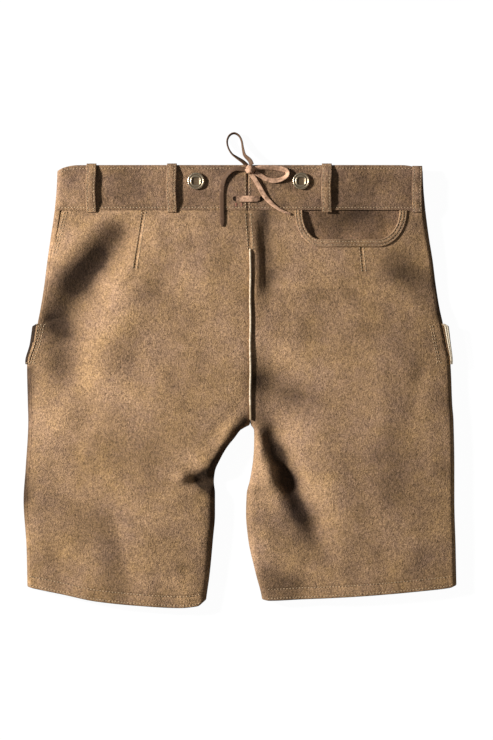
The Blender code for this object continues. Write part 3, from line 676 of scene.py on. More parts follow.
def new_group(
    name: str, inputs: Sequence[tuple[str, str, float]], outputs: Sequence[tuple[str, str]]
) -> NodeTree:
    """Start a shader node group.

    Args:
        name: the group's name.
        inputs: each input's name, socket type and default.
        outputs: each output's name and socket type.

    Returns:
        The group, with its input and output nodes.
    """
    tree = bpy.data.node_groups.new(name, "ShaderNodeTree")
    for label, kind, default in inputs:
        socket = tree.interface.new_socket(label, in_out="INPUT", socket_type=kind)
        if kind == "NodeSocketFloat":
            socket.default_value = default
    for label, kind in outputs:
        tree.interface.new_socket(label, in_out="OUTPUT", socket_type=kind)
    tree.nodes.new("NodeGroupInput").name = "in"
    tree.nodes.new("NodeGroupOutput").name = "out"
    return tree


def add(tree: NodeTree, kind: str, links: dict[str, object], **settings: object) -> Node:
    """Add a node.

    Args:
        tree: the tree it goes in.
        kind: the node's type.
        links: for each input, the socket that feeds it or its value.
        settings: the node's own properties.

    Returns:
        The node.
    """
    node = tree.nodes.new(kind)
    for key, value in settings.items():
        setattr(node, key, value)
    for key, value in links.items():
        socket = node.inputs[int(key)] if key.isdigit() else node.inputs[key]
        if isinstance(value, NodeSocket):
            tree.links.new(value, socket)
        else:
            socket.default_value = value
    return node


def math_node(tree: NodeTree, operation: str, a: object, b: object = 0.0) -> NodeSocket:
    """Add a Math node and give its result."""
    return add(tree, "ShaderNodeMath", {"0": a, "1": b}, operation=operation).outputs[0]


def noise(
    tree: NodeTree, at: object, scale: object, detail: float, rough: float = 0.55
) -> NodeSocket:
    """Add a noise texture and give its value."""
    links = {"Vector": at, "Scale": scale, "Detail": detail, "Roughness": rough}
    return add(tree, "ShaderNodeTexNoise", links).outputs["Fac"]


def spread(tree: NodeTree, value: object, low: float, high: float) -> NodeSocket:
    """Stretch a value from low..high to 0..1."""
    node = add(tree, "ShaderNodeMapRange", {"Value": value, "From Min": low, "From Max": high})
    return node.outputs["Result"]


def suede_group() -> NodeTree:
    """Build the nap, patches and grain that every suede piece shares.

    Returns:
        A group that gives patch and grain masks, roughness and a bump height.
    """
    tree = new_group(
        "suede_nap",
        [("Vector", "NodeSocketVector", 0), ("Patch", "NodeSocketFloat", 11.0),
         ("Grain", "NodeSocketFloat", 650.0), ("Nap", "NodeSocketFloat", 120.0)],
        [("Patches", "NodeSocketFloat"), ("Mottle", "NodeSocketFloat"),
         ("Speck", "NodeSocketFloat"), ("Hue", "NodeSocketFloat"), ("Height", "NodeSocketFloat")],
    )
    put = tree.nodes["in"].outputs
    stretch = add(tree, "ShaderNodeMapping", {"Vector": put["Vector"], "Scale": (1.0, 0.75, 1.0)})
    patches = spread(tree, noise(tree, put["Vector"], put["Patch"], 3.0, 0.5), 0.05, 0.95)
    mottle = spread(tree, noise(tree, stretch.outputs[0], put["Nap"], 4.0, 0.7), 0.3, 0.7)
    speck = noise(tree, put["Vector"], put["Grain"], 2.0, 0.8)
    hairs = noise(tree, stretch.outputs[0], math_node(tree, "MULTIPLY", put["Grain"], 1.7), 1.0)
    rough, soft = math_node(tree, "MULTIPLY", speck, 0.7), math_node(tree, "MULTIPLY", hairs, 0.5)
    height = math_node(tree, "ADD", rough, soft)
    height = math_node(tree, "ADD", height, math_node(tree, "MULTIPLY", mottle, 0.35))
    out = tree.nodes["out"].inputs
    tree.links.new(patches, out["Patches"])
    tree.links.new(mottle, out["Mottle"])
    tree.links.new(spread(tree, speck, 0.3, 0.7), out["Speck"])
    hue = noise(tree, put["Vector"], math_node(tree, "MULTIPLY", put["Patch"], 0.9), 8.0, 0.8)
    tree.links.new(spread(tree, hue, 0.3, 0.7), out["Hue"])
    tree.links.new(height, out["Height"])
    return tree


def blend_colour(tree: NodeTree, mask: object, a: object, b: object, mode: str = "MIX") -> NodeSocket:
    """Mix two colours by a mask."""
    node = tree.nodes.new("ShaderNodeMix")
    node.data_type = "RGBA"
    node.blend_type = mode
    for socket, value in ((node.inputs[0], mask), (node.inputs[6], a), (node.inputs[7], b)):
        if isinstance(value, NodeSocket):
            tree.links.new(value, socket)
        else:
            socket.default_value = value
    return node.outputs[2]


def start_material(name: str) -> tuple[Material, NodeTree, Node, NodeSocket]:
    """Start a material, with its tree, its shader and the place on the piece."""
    material = bpy.data.materials.new(name)
    material.use_nodes = True
    tree = material.node_tree
    shader = tree.nodes["Principled BSDF"]
    return material, tree, shader, add(tree, "ShaderNodeTexCoord", {}).outputs["Object"]


def put_range(tree: NodeTree, value: object, low: float, high: float, into: NodeSocket) -> None:
    """Spread a mask over low..high into a shader's input."""
    node = add(tree, "ShaderNodeMapRange", {"Value": value, "To Min": low, "To Max": high})
    tree.links.new(node.outputs["Result"], into)


def put_bump(tree: NodeTree, shader: Node, strength: float, distance: float, height: NodeSocket) -> None:
    """Raise the surface by a height."""
    node = add(tree, "ShaderNodeBump", {"Strength": strength, "Distance": distance, "Height": height})
    tree.links.new(node.outputs["Normal"], shader.inputs["Normal"])


@dataclass(frozen=True)
class SuedeFinish:
    """Brushed leather: patches, nap, and places lightened or darkened by the tone attribute, which carries
    painted shade and painted light as well as rubbing and random tone.
    """

    name: str
    light: Colour
    mid: Colour
    dark: Colour
    patch: float = 20.0
    nap: float = 330.0
    grain: float = 640.0
    bump: float = 1.0
    sheen: float = 0.1

    def material(self, group: NodeTree) -> Material:
        """Build the finish.

        Args:
            group: the shared nap.

        Returns:
            The material.
        """
        material, tree, shader, place = start_material(self.name)
        nap = tree.nodes.new("ShaderNodeGroup")
        nap.node_tree = group
        tree.links.new(place, nap.inputs["Vector"])
        for label, value in (("Patch", self.patch), ("Nap", self.nap), ("Grain", self.grain)):
            nap.inputs[label].default_value = value
        tone = add(tree, "ShaderNodeAttribute", {}, attribute_name="tone").outputs["Fac"]
        shade = math_node(tree, "ADD", nap.outputs["Patches"], tone)
        lighter = spread(tree, shade, 0.42, 1.05)
        darker = spread(tree, shade, 0.48, -0.65)
        colour = blend_colour(tree, lighter, self.mid, self.light)
        colour = blend_colour(tree, darker, colour, self.dark)
        grain = math_node(tree, "ADD", math_node(tree, "MULTIPLY", nap.outputs["Mottle"], 0.4),
                          math_node(tree, "MULTIPLY", nap.outputs["Speck"], 0.6))
        speckle = add(tree, "ShaderNodeMapRange", {"Value": grain, "To Min": 0.16, "To Max": 1.84})
        colour = blend_colour(tree, 1.0, colour, speckle.outputs["Result"], "MULTIPLY")
        tint = blend_colour(tree, nap.outputs["Hue"], (1.05, 1.0, 0.80, 1), (0.95, 0.93, 1.10, 1))
        colour = blend_colour(tree, 1.0, colour, tint, "MULTIPLY")
        tree.links.new(colour, shader.inputs["Base Color"])
        put_range(tree, nap.outputs["Mottle"], 0.84, 0.99, shader.inputs["Roughness"])
        put_bump(tree, shader, self.bump, 0.001, nap.outputs["Height"])
        shader.inputs["Specular IOR Level"].default_value = 0.12
        shader.inputs["Sheen Weight"].default_value = self.sheen
        shader.inputs["Sheen Roughness"].default_value = 0.5
        shader.inputs["Sheen Tint"].default_value = (0.9, 0.74, 0.55, 1)
        return material


@dataclass(frozen=True)
class SmoothLeatherFinish:
    """Grained leather of the piping and the lace."""

    name: str
    colour: Colour
    wear_and_shade: Colour
    scale: float = 220.0
    roughness: float = 0.55
    gloss: float = 0.35

    def material(self) -> Material:
        """Build the finish.

        Returns:
            The material.
        """
        material, tree, shader, place = start_material(self.name)
        blotch = spread(tree, noise(tree, place, self.scale, 4.0, 0.65), 0.32, 0.68)
        tone = add(tree, "ShaderNodeAttribute", {}, attribute_name="tone").outputs["Fac"]
        # Darkening towards the second colour shows wear, and on the lace also painted shade of thong turned
        # from the light.
        wear_and_shade = spread(tree, math_node(tree, "SUBTRACT", blotch, tone), 0.0, 1.0)
        tree.links.new(blend_colour(tree, wear_and_shade, self.colour, self.wear_and_shade), shader.inputs["Base Color"])
        cells = add(tree, "ShaderNodeTexVoronoi", {"Vector": place, "Scale": self.scale * 6})
        put_range(tree, blotch, self.roughness, self.roughness + 0.25, shader.inputs["Roughness"])
        put_bump(tree, shader, 0.35, 0.0005, cells.outputs["Distance"])
        shader.inputs["Specular IOR Level"].default_value = self.gloss
        return material


@dataclass(frozen=True)
class MetalFinish:
    """Aged metal, bright on its edges and dull in its hollows."""

    name: str = "aged_metal"
    bright: Colour = (0.80, 0.66, 0.46, 1)
    dull: Colour = (0.17, 0.115, 0.065, 1)

    def material(self) -> Material:
        """Build the finish.

        Returns:
            The material.
        """
        material, tree, shader, place = start_material(self.name)
        spots = spread(tree, noise(tree, place, 420.0, 4.0, 0.7), 0.35, 0.7)
        hollow = add(tree, "ShaderNodeAttribute", {}, attribute_name="tone").outputs["Fac"]
        dull = math_node(tree, "ADD", math_node(tree, "MULTIPLY", spots, 0.35), hollow)
        dull = spread(tree, dull, 0.0, 1.0)
        tree.links.new(blend_colour(tree, dull, self.bright, self.dull), shader.inputs["Base Color"])
        put_range(tree, dull, 0.24, 0.62, shader.inputs["Roughness"])
        put_range(tree, dull, 1.0, 0.7, shader.inputs["Metallic"])
        put_bump(tree, shader, 0.2, 0.0002, noise(tree, place, 1400.0, 2.0))
        return material


@dataclass(frozen=True)
class ThreadFinish:
    """Twisted sewing thread."""

    name: str
    colour: Colour

    def material(self) -> Material:
        """Build the finish.

        Returns:
            The material.
        """
        material, tree, shader, place = start_material(self.name)
        uneven = spread(tree, noise(tree, place, 160.0, 3.0), 0.3, 0.7)
        dim = tuple(0.62 * c for c in self.colour[:3]) + (1.0,)
        tree.links.new(blend_colour(tree, uneven, dim, self.colour), shader.inputs["Base Color"])
        twist = add(tree, "ShaderNodeTexWave", {"Vector": place, "Scale": 900.0, "Distortion": 1.5})
        put_bump(tree, shader, 0.3, 0.0002, twist.outputs["Fac"])
        shader.inputs["Roughness"].default_value = 0.7
        return material


class Finishes:
    """Every finish of the garment, built once."""

    def __init__(self) -> None:
        """Build the materials."""
        nap = suede_group()
        self.suede = SuedeFinish(
            "brushed_suede", light=(0.50, 0.315, 0.168, 1),
            mid=(0.330, 0.206, 0.112, 1), dark=(0.058, 0.035, 0.021, 1),
        ).material(nap)
        self.band = SuedeFinish(
            "band_suede", light=(0.36, 0.225, 0.125, 1),
            mid=(0.210, 0.129, 0.075, 1), dark=(0.060, 0.038, 0.025, 1),
            patch=30.0,
        ).material(nap)
        self.under = SuedeFinish(
            "under_suede", light=(0.36, 0.222, 0.120, 1),
            mid=(0.215, 0.130, 0.072, 1), dark=(0.060, 0.037, 0.023, 1),
            patch=30.0, sheen=0.05,
        ).material(nap)
        self.piping = SmoothLeatherFinish(
            "pale_piping", colour=(0.80, 0.67, 0.49, 1), wear_and_shade=(0.42, 0.31, 0.19, 1)
        ).material()
        self.lace = SmoothLeatherFinish(
            "lace_leather", colour=(0.68, 0.40, 0.25, 1), wear_and_shade=(0.125, 0.066, 0.034, 1), roughness=0.65
        ).material()
        self.metal = MetalFinish().material()
        self.thread = ThreadFinish("tan_thread", (0.62, 0.45, 0.27, 1)).material()
        self.red_thread = ThreadFinish("red_thread", (0.50, 0.20, 0.13, 1)).material()
        # The near-black finish below is painted shade: the knife pockets' shadowed mouths and the eyelets'
        # openings.
        self.painted_shade = SmoothLeatherFinish(
            "painted_shade_leather", colour=(0.016, 0.010, 0.007, 1), wear_and_shade=(0.045, 0.028, 0.018, 1),
            roughness=0.7, gloss=0.06,
        ).material()


# ------------------------------------------------------------------ stitches


class StitchMaker:
    """Sews rows of stitches along paths, by Geometry Nodes."""

    def __init__(self, workshop: Workshop) -> None:
        """Keep the workshop."""
        self.workshop = workshop
        self.rows: dict[str, list[Array]] = {}
        self.tree = self.build_tree()

    def build_tree(self) -> NodeTree:
        """Build the tree that lays stitches along curves.

        Returns:
            A tree with inputs for spacing, stitch length, thickness and thread.
        """
        tree = bpy.data.node_groups.new("stitch_rows", "GeometryNodeTree")
        face = tree.interface
        face.new_socket("Geometry", in_out="INPUT", socket_type="NodeSocketGeometry")
        for label, default in (("Spacing", 0.0036), ("Length", 0.0025), ("Thickness", 0.0009)):
            face.new_socket(label, in_out="INPUT", socket_type="NodeSocketFloat").default_value = default
        face.new_socket("Thread", in_out="INPUT", socket_type="NodeSocketMaterial")
        face.new_socket("Geometry", in_out="OUTPUT", socket_type="NodeSocketGeometry")
        put = add(tree, "NodeGroupInput", {}).outputs
        points = tree.nodes.new("GeometryNodeResampleCurve")
        points.mode = "LENGTH"
        tree.links.new(put["Geometry"], points.inputs["Curve"])
        tree.links.new(put["Spacing"], points.inputs["Length"])
        ball = add(tree, "GeometryNodeMeshUVSphere", {"Segments": 6, "Rings": 4, "Radius": 0.5})
        sizes = {"X": put["Length"], "Y": put["Thickness"], "Z": put["Thickness"]}
        size = add(tree, "ShaderNodeCombineXYZ", sizes)
        links = {"Geometry": ball.outputs["Mesh"], "Scale": size.outputs[0]}
        stitch = add(tree, "GeometryNodeTransform", links)
        along = add(tree, "GeometryNodeInputTangent", {})
        wobble = tree.nodes.new("FunctionNodeRandomValue")
        wobble.data_type = "FLOAT_VECTOR"
        wobble.inputs[0].default_value = (-0.09, -0.09, -0.09)
        wobble.inputs[1].default_value = (0.09, 0.09, 0.09)
        wobble.inputs["Seed"].default_value = 4
        links = {"0": along.outputs[0], "1": wobble.outputs[0]}
        aim = add(tree, "ShaderNodeVectorMath", links, operation="ADD")
        turn = add(tree, "FunctionNodeAlignRotationToVector", {"Vector": aim.outputs[0]}, axis="X")
        laid = add(tree, "GeometryNodeInstanceOnPoints", {
            "Points": points.outputs["Curve"], "Instance": stitch.outputs["Geometry"],
            "Rotation": turn.outputs["Rotation"],
        })
        real = add(tree, "GeometryNodeRealizeInstances", {"Geometry": laid.outputs["Instances"]})
        links = {"Geometry": real.outputs["Geometry"], "Material": put["Thread"]}
        dyed = add(tree, "GeometryNodeSetMaterial", links)
        out = tree.nodes.new("NodeGroupOutput")
        tree.links.new(dyed.outputs["Geometry"], out.inputs["Geometry"])
        return tree

    def row(self, thread: str, points: Array) -> None:
        """Ask for a row of stitches.

        Args:
            thread: which thread sews it.
            points: the row's line, in metres.
        """
        self.rows.setdefault(thread, []).append(np.asarray(points))

    def on_back(self, thread: str, x: Array, down: Array, lift: float = 0.2) -> None:
        """Ask for a row on the back, from places across and down."""
        x, down = np.asarray(x, float), np.asarray(down, float)
        self.row(thread, self.workshop.form.place(x, down, self.workshop.form.tops(x, down) + lift))

    def sew(self, name: str, thread: str, material: Material) -> Object:
        """Sew every row asked for with one thread.

        Args:
            name: the piece's name.
            thread: which thread.
            material: its finish.

        Returns:
            The stitches, as one mesh.
        """
        curve = bpy.data.curves.new(name + "_lines", "CURVE")
        curve.dimensions = "3D"
        for points in self.rows[thread]:
            spline = curve.splines.new("POLY")
            spline.points.add(len(points) - 1)
            flat = np.concatenate([points, np.ones((len(points), 1))], axis=1)
            spline.points.foreach_set("co", flat.reshape(-1))
        guide = bpy.data.objects.new(name + "_lines", curve)
        bpy.context.scene.collection.objects.link(guide)
        nodes = guide.modifiers.new("stitches", "NODES")
        nodes.node_group = self.tree
        for item in self.tree.interface.items_tree:
            if item.item_type == "SOCKET" and item.in_out == "INPUT" and item.name == "Thread":
                nodes[item.identifier] = material
        seen = guide.evaluated_get(bpy.context.evaluated_depsgraph_get())
        mesh = bpy.data.meshes.new_from_object(seen)
        mesh.name = name
        bpy.data.objects.remove(guide, do_unlink=True)
        mesh.shade_smooth()
        thing = bpy.data.objects.new(name, mesh)
        bpy.context.scene.collection.objects.link(thing)
        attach(thing, BODY)
        LOG.info("%s: %d faces", name, len(mesh.polygons))
        return thing


# ------------------------------------------------------------------ the cloth panels


@dataclass(frozen=True)
class Panels:
    """The four leg and seat panels, as thin shells."""

    workshop: Workshop
    finishes: Finishes
    row_step: float = 2.6
    column_step: float = 2.7
    first_row: float = 53.4
    last_free_row: float = 440.0
    hem_rows: int = 30
    leg_end: float = 72.0
    tuck: float = 3.4
    tuck_deep: float = 3.0
    seam_dip: float = 0.8
    dip_reach: float = 2.6
    slit_dip: float = 1.5
    pocket_in: float = 73.0
    pocket_out: float = 188.0
    pocket_round_in: float = 21.0
    pocket_round_out: float = 27.0
    pocket_depth: float = 34.5
    pocket_settle: float = 120.0
    darts: tuple[Fold, ...] = (
        Fold(-113, 50, -123, 120, 1.5, -0.9),
        Fold(142.2, 90, 145.1, 125, 1.5, -0.8),
        Fold(-210.5, 52, -222.5, 104, 1.6, -1.3),
    )

    def rows(self) -> tuple[Array, Array, Array, Array]:
        """List the panels' rows.

        Returns:
            Their nominal distance down, share of the way to the hem, wall, and edge rounding.
        """
        form = self.workshop.form
        steps = int((self.last_free_row - self.first_row) / self.row_step)
        tucked = self.first_row - np.array([self.tuck, 2.0, 1.2, 0.8, 0.5, 0.25])
        free = np.concatenate([tucked, np.linspace(self.first_row, self.last_free_row, steps)])
        steps = len(free)
        to_turn = np.linspace(0, 1, self.hem_rows)[1:] * (1 - 18.0 / self.leg_end)
        near = 1 - np.array([16.2, 15.2, 14.4, 13.8, 13.1]) / self.leg_end
        to_turn = np.concatenate([to_turn, near])
        edge = np.array([12.4, 11.0, 8.5, 6.0, 4.2, 3.4, 2.6, 1.9, 1.1, 0.45, 0.1, 0.0])
        turned = 1 - edge / self.leg_end
        share = np.concatenate([np.zeros(steps), to_turn, turned])
        nominal = np.concatenate([free, np.full(len(share) - steps, self.last_free_row)])
        plain = steps + len(to_turn)
        rolled = [0.04, 0.16, 0.5, 0.95, 1.35]
        wall = np.concatenate([np.full(plain, form.panel_wall), np.full(len(edge), form.hem_wall)])
        roll = np.concatenate([np.zeros(plain + len(edge) - len(rolled)), rolled])
        return nominal[:, None], share[:, None], wall[:, None], roll[:, None]

    def settle(self, half: Half, nominal: Array, share: Array, x_at: Callable[[Array], Array]) -> Array:
        """Find where rows that follow the hem lie, from where their points are across."""
        down = nominal + share * 70.0
        for _ in range(3):
            down = nominal + share * (self.workshop.form.hem(half, x_at(down)) - nominal)
        return down

    def shares(self, half: Half) -> Array:
        """Columns of a back panel's flat part, closer together at darts and pocket corners."""
        count = int(210 / self.column_step)
        flat = [np.linspace(0, 1, count)]
        width = 209.0
        if half is Half.LEFT:
            flat.append(np.linspace(0.50, 0.56, 26))
        else:
            flat.append(np.linspace(0.592, 0.618, 14))
            turn = np.linspace(0.03, math.pi / 2, 12)
            ends = (self.pocket_in - 9 - 26, self.pocket_out - 9 - 26)
            flat.append((ends[0] + self.pocket_round_in * (1 - np.cos(turn))) / (width - 33))
            flat.append((ends[1] - self.pocket_round_out * (1 - np.cos(turn))) / (width - 33))
        together = np.sort(np.concatenate(flat))
        keep = np.concatenate([[True], np.diff(together) > 0.0016])
        return together[keep]

    def scoop(self, half: Half, x: Array, down: Array) -> Array:
        """Move rows of the right back panel down round the scooped opening."""
        if half is Half.LEFT:
            return down
        from_in = (x - self.pocket_in) / self.pocket_round_in
        from_out = (self.pocket_out - x) / self.pocket_round_out
        part = np.clip(np.minimum(from_in, from_out), 0.0, 1.0)
        top = self.first_row + self.pocket_depth * np.sqrt(1 - (1 - part) ** 2)
        share = (down - self.first_row) / (self.pocket_settle - self.first_row)
        moved = np.where(down < self.pocket_settle, top + share * (self.pocket_settle - top), down)
        tucked = top - (self.first_row - down) * np.maximum(1 - 40 * part, 0.02)
        return np.where(down < self.first_row, tucked, moved)

    def tucked(self, down: Array) -> Array:
        """How far a panel drops to pass under the waistband."""
        return self.tuck_deep * ramp((self.first_row - 0.15 - down) / 0.7)

    def dips(self, half: Half, x: Array, down: Array) -> Array:
        """How far seams and darts pull the back's surface in."""
        form = self.workshop.form
        to_centre = np.abs(x - form.inner(half, down))
        dip = self.seam_dip * np.exp(-(to_centre / self.dip_reach) ** 2)
        if half is Half.RIGHT:
            slit = ramp((down - 96) / 8) * ramp((300 - down) / 8)
            dip = dip + self.slit_dip * np.exp(-((to_centre - 2.7) / 1.2) ** 2) * slit
        dip = dip * (down < form.crotch_down)
        to_band = np.maximum(down - self.first_row, 0.0)
        dip = dip + 0.7 * np.exp(-(to_band / 2.2) ** 2) + self.tucked(down)
        up = form.hem(half, x) - down
        dip = dip + 0.8 * np.exp(-((up - 13.8) / 1.0) ** 2) + 0.4 * np.exp(-((up - 3.2) / 0.8) ** 2)
        return dip - fold_sum(self.darts, x, down)

    def tone(self, x: Array, down: Array) -> Array:
        """How much the back is painted lighter or darker: painted shade in fold troughs, painted light and
        rubbing on ridges, streaks of painted shade and painted light, darker along the hem, and random tone.
        """
        form = self.workshop.form
        # Troughs of the folds are painted darker, as painted shade, and ridges lighter, as painted light and
        # rubbing.
        relief = fold_sum(FOLDS, x, down) + 2.0 * fold_sum(CREASES, x, down)
        tone = 0.025 * relief
        # Streaks of painted shade (depth below 0) and painted light (depth above 0).
        for shading_streak in PAINTED_SHADING:
            along, below = shading_streak.to_x - shading_streak.x, shading_streak.to_down - shading_streak.down
            part = ((x - shading_streak.x) * along + (down - shading_streak.down) * below) / (along ** 2 + below ** 2)
            part = np.clip(part, 0, 1)
            away = np.hypot(x - shading_streak.x - part * along, down - shading_streak.down - part * below)
            tone = tone + shading_streak.depth * np.exp(-(away / shading_streak.wide) ** 2)
        to_hem = form.crotch_down + 208 - down
        tone = tone - 0.10 * np.exp(-(to_hem / 16) ** 2)
        tone = tone + 0.20 * soft_noise(x, down, 40, 21) + 0.13 * soft_noise(x, down, 12, 22)
        return tone

    @staticmethod
    def joined(parts: Sequence[tuple[Array, Array, Array]], rows: int) -> list[Array]:
        """Lay a panel's parts side by side: places across, down and high."""
        wide = [part[0].shape[1] for part in parts]
        return [
            np.concatenate([np.broadcast_to(part[n], (rows, w)) for part, w in zip(parts, wide)], axis=1)
            for n in range(3)
        ]

    def back(self, half: Half) -> Object:
        """Build a back panel, from the centre seam and inseam to the side seam."""
        form = self.workshop.form
        nominal, share, row_wall, roll = self.rows()
        angles = np.linspace(0, math.pi / 2, 9)[None, :]
        flat = self.shares(half)[None, 1:]
        turns = np.linspace(0, 1, 5)[None, 1:]
        grids = []
        for wall in (roll, row_wall - roll):

            def in_bend(down: Array) -> Array:
                """Places across on the bend at the centre."""
                return form.edge(half, down, angles, True, 0.0, True)[0]

            down = self.settle(half, nominal, share, in_bend)
            plain = in_bend(down) + half.value * GAP / 2
            bent, high = form.edge(half, down, angles, True, wall, True)
            above = down < form.crotch_down
            x = np.where(above, plain, bent)
            z = np.where(above, form.back(half, x, down, wall), high)
            parts = [(x, down, z - self.dips(half, x, down) * above)]

            def in_flat(down: Array) -> Array:
                """Places across between the two bends."""
                start = form.inner(half, down) + half.value * form.bend(down)
                end = form.outer(half, down) - half.value * form.side_bend
                return start + flat * (end - start)

            down = self.settle(half, nominal, share, in_flat)
            x = in_flat(down)
            down = self.scoop(half, x, down)
            parts.append((x, down, form.back(half, x, down, wall) - self.dips(half, x, down)))

            def side_turn(down: Array) -> Array:
                """Angles round the outer fold, up to the side seam."""
                end = form.seam_angle(half, down, 0.65 * GAP)
                return math.pi / 2 + turns * (end - math.pi / 2)

            def at_side(down: Array) -> Array:
                """Places across on the outer fold."""
                return form.edge(half, down, side_turn(down), True, 0.0, False)[0]

            down = self.settle(half, nominal, share, at_side)
            x, z = form.edge(half, down, side_turn(down), True, wall, False)
            parts.append((x, down, z - self.tucked(down)))
            grids.append(self.joined(parts, len(nominal)))
        outer, inner = (form.place(*columns) for columns in grids)
        name = f"back_{half.name.lower()}_cloth"
        tone = self.tone(grids[0][0], grids[0][1])
        thing = self.workshop.wall(name, outer, inner, self.finishes.suede, Slot.SUEDE, tone)
        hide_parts(f"back_{half.name.lower()}")
        return thing

    def front(self, half: Half) -> Object:
        """Build a front panel, from the side seam round the outer fold to the centre."""
        form = self.workshop.form
        nominal, share, row_wall, roll = self.rows()
        over = np.linspace(1, 0, 7)[None, :]
        under = np.linspace(0, math.pi / 2, 7)[None, 1:]
        flat = np.linspace(0, 1, 64)[None, 1:]
        inward = np.linspace(math.pi / 2, 0, 9)[None, 1:]
        grids = []
        for wall in (roll, row_wall - roll):

            def turn(down: Array) -> Array:
                """Angles from the side seam to the outer fold."""
                return over * form.seam_angle(half, down, -0.65 * GAP)

            down = self.settle(
                half, nominal, share, lambda d: form.edge(half, d, turn(d), True, 0.0, False)[0]
            )
            x, z = form.edge(half, down, turn(down), True, wall, False)
            parts = [(x - half.value * self.tucked(down), down, z)]
            down = self.settle(
                half, nominal, share, lambda d: form.edge(half, d, under, False, 0.0, False)[0]
            )
            x, z = form.edge(half, down, under, False, wall, False)
            level = 1 - np.cos(under)
            shift = self.tucked(down)
            parts.append((x - half.value * shift * (1 - level), down, z + shift * level))

            def in_flat(down: Array) -> Array:
                """Places across between the two bends."""
                start = form.outer(half, down) - half.value * form.side_bend
                end = form.inner(half, down) + half.value * form.bend(down)
                return start + flat * (end - start)

            down = self.settle(half, nominal, share, in_flat)
            x = in_flat(down)
            parts.append((x, down, form.front(half, x, down, wall) + self.tucked(down)))

            def in_bend(down: Array) -> Array:
                """Places across on the bend at the centre."""
                return form.edge(half, down, inward, False, 0.0, True)[0]

            down = self.settle(half, nominal, share, in_bend)
            plain = in_bend(down) + half.value * GAP / 2
            bent, low = form.edge(half, down, inward, False, wall, True)
            above = down < form.crotch_down
            x = np.where(above, plain, bent)
            parts.append((x, down, np.where(above, form.front(half, x, down, wall) + self.tucked(down), low)))
            grids.append(self.joined(parts, len(nominal)))
        outer, inner = (form.place(*columns) for columns in grids)
        name = f"front_{half.name.lower()}_cloth"
        tone = self.tone(grids[0][0], grids[0][1]) - 0.1
        thing = self.workshop.wall(name, outer, inner, self.finishes.suede, Slot.SUEDE, tone)
        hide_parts(f"front_{half.name.lower()}")
        return thing


class PaintedShading(NamedTuple):
    """A soft streak on the suede from one place to another: painted shade where depth is below 0, painted
    light where it is above.
    """

    x: float
    down: float
    to_x: float
    to_down: float
    wide: float
    depth: float


# Painted shade along troughs, creases, inner edges, under the waistband's edge and on slopes turned from the
# light; painted light on ridges and edges turned towards it.
PAINTED_SHADING = (
    PaintedShading(-148, 80, -176, 116, 15, -0.50),
    PaintedShading(-172, 112, -196, 138, 17, -0.85),
    PaintedShading(-196, 136, -218, 176, 24, -0.55),
    PaintedShading(-212, 180, -224, 190, 18, -0.40),
    PaintedShading(-206, 200, -214, 236, 18, -0.50),
    PaintedShading(-133, 112, -172, 188, 17, 0.22),
    PaintedShading(-168, 196, -160, 250, 20, 0.16),
    PaintedShading(-120, 290, -70, 300, 50, 0.12),
    PaintedShading(-130, 400, -90, 420, 45, 0.16),
    PaintedShading(-236, 400, -180, 410, 20, -0.20),
    PaintedShading(-143, 450, -150, 466, 15, -0.25),
    PaintedShading(-47, 367, -30, 355, 5, -0.90),
    PaintedShading(-47, 369, -30, 384, 6, -0.90),
    PaintedShading(-42, 369, -28, 369, 11, -1.30),
    PaintedShading(-68, 346, -50, 352, 12, 0.25),
    PaintedShading(6, 300, -31, 350, 4.5, -1.10),
    PaintedShading(-31, 384, -34, 470, 7, -0.75),
    PaintedShading(-249, 240, -257, 430, 7, -0.95),
    PaintedShading(251, 230, 254, 500, 5, 0.60),
    PaintedShading(27, 20, 37, 150, 9, -0.55),
    PaintedShading(36, 60, 44, 180, 20, -0.18),
    PaintedShading(24, 248, 60, 268, 20, -0.75),
    PaintedShading(20, 252, 20, 300, 9, -0.60),
    PaintedShading(62, 276, 96, 300, 18, -0.30),
    PaintedShading(30, 314, 46, 340, 8, -0.70),
    PaintedShading(41, 340, 57, 372, 11, -0.85),
    PaintedShading(57, 372, 70, 410, 11, -1.05),
    PaintedShading(70, 410, 80, 444, 13, -0.45),
    PaintedShading(60, 330, 96, 392, 13, 0.15),
    PaintedShading(52, 420, 60, 440, 22, -0.25),
    PaintedShading(34, 484, 62, 496, 17, -0.60),
    PaintedShading(186, 130, 226, 126, 13, -0.60),
    PaintedShading(227, 140, 236, 176, 8, -0.50),
    PaintedShading(100, 190, 150, 200, 50, -0.05),
    PaintedShading(190, 280, 190, 380, 35, -0.10),
    PaintedShading(110, 90, 130, 440, 70, 0.12),
    PaintedShading(4, 336, -2, 450, 8, -0.35),
    PaintedShading(-30, 60, 212, 60, 20, -0.10),
)


# ------------------------------------------------------------------ waistband and flap


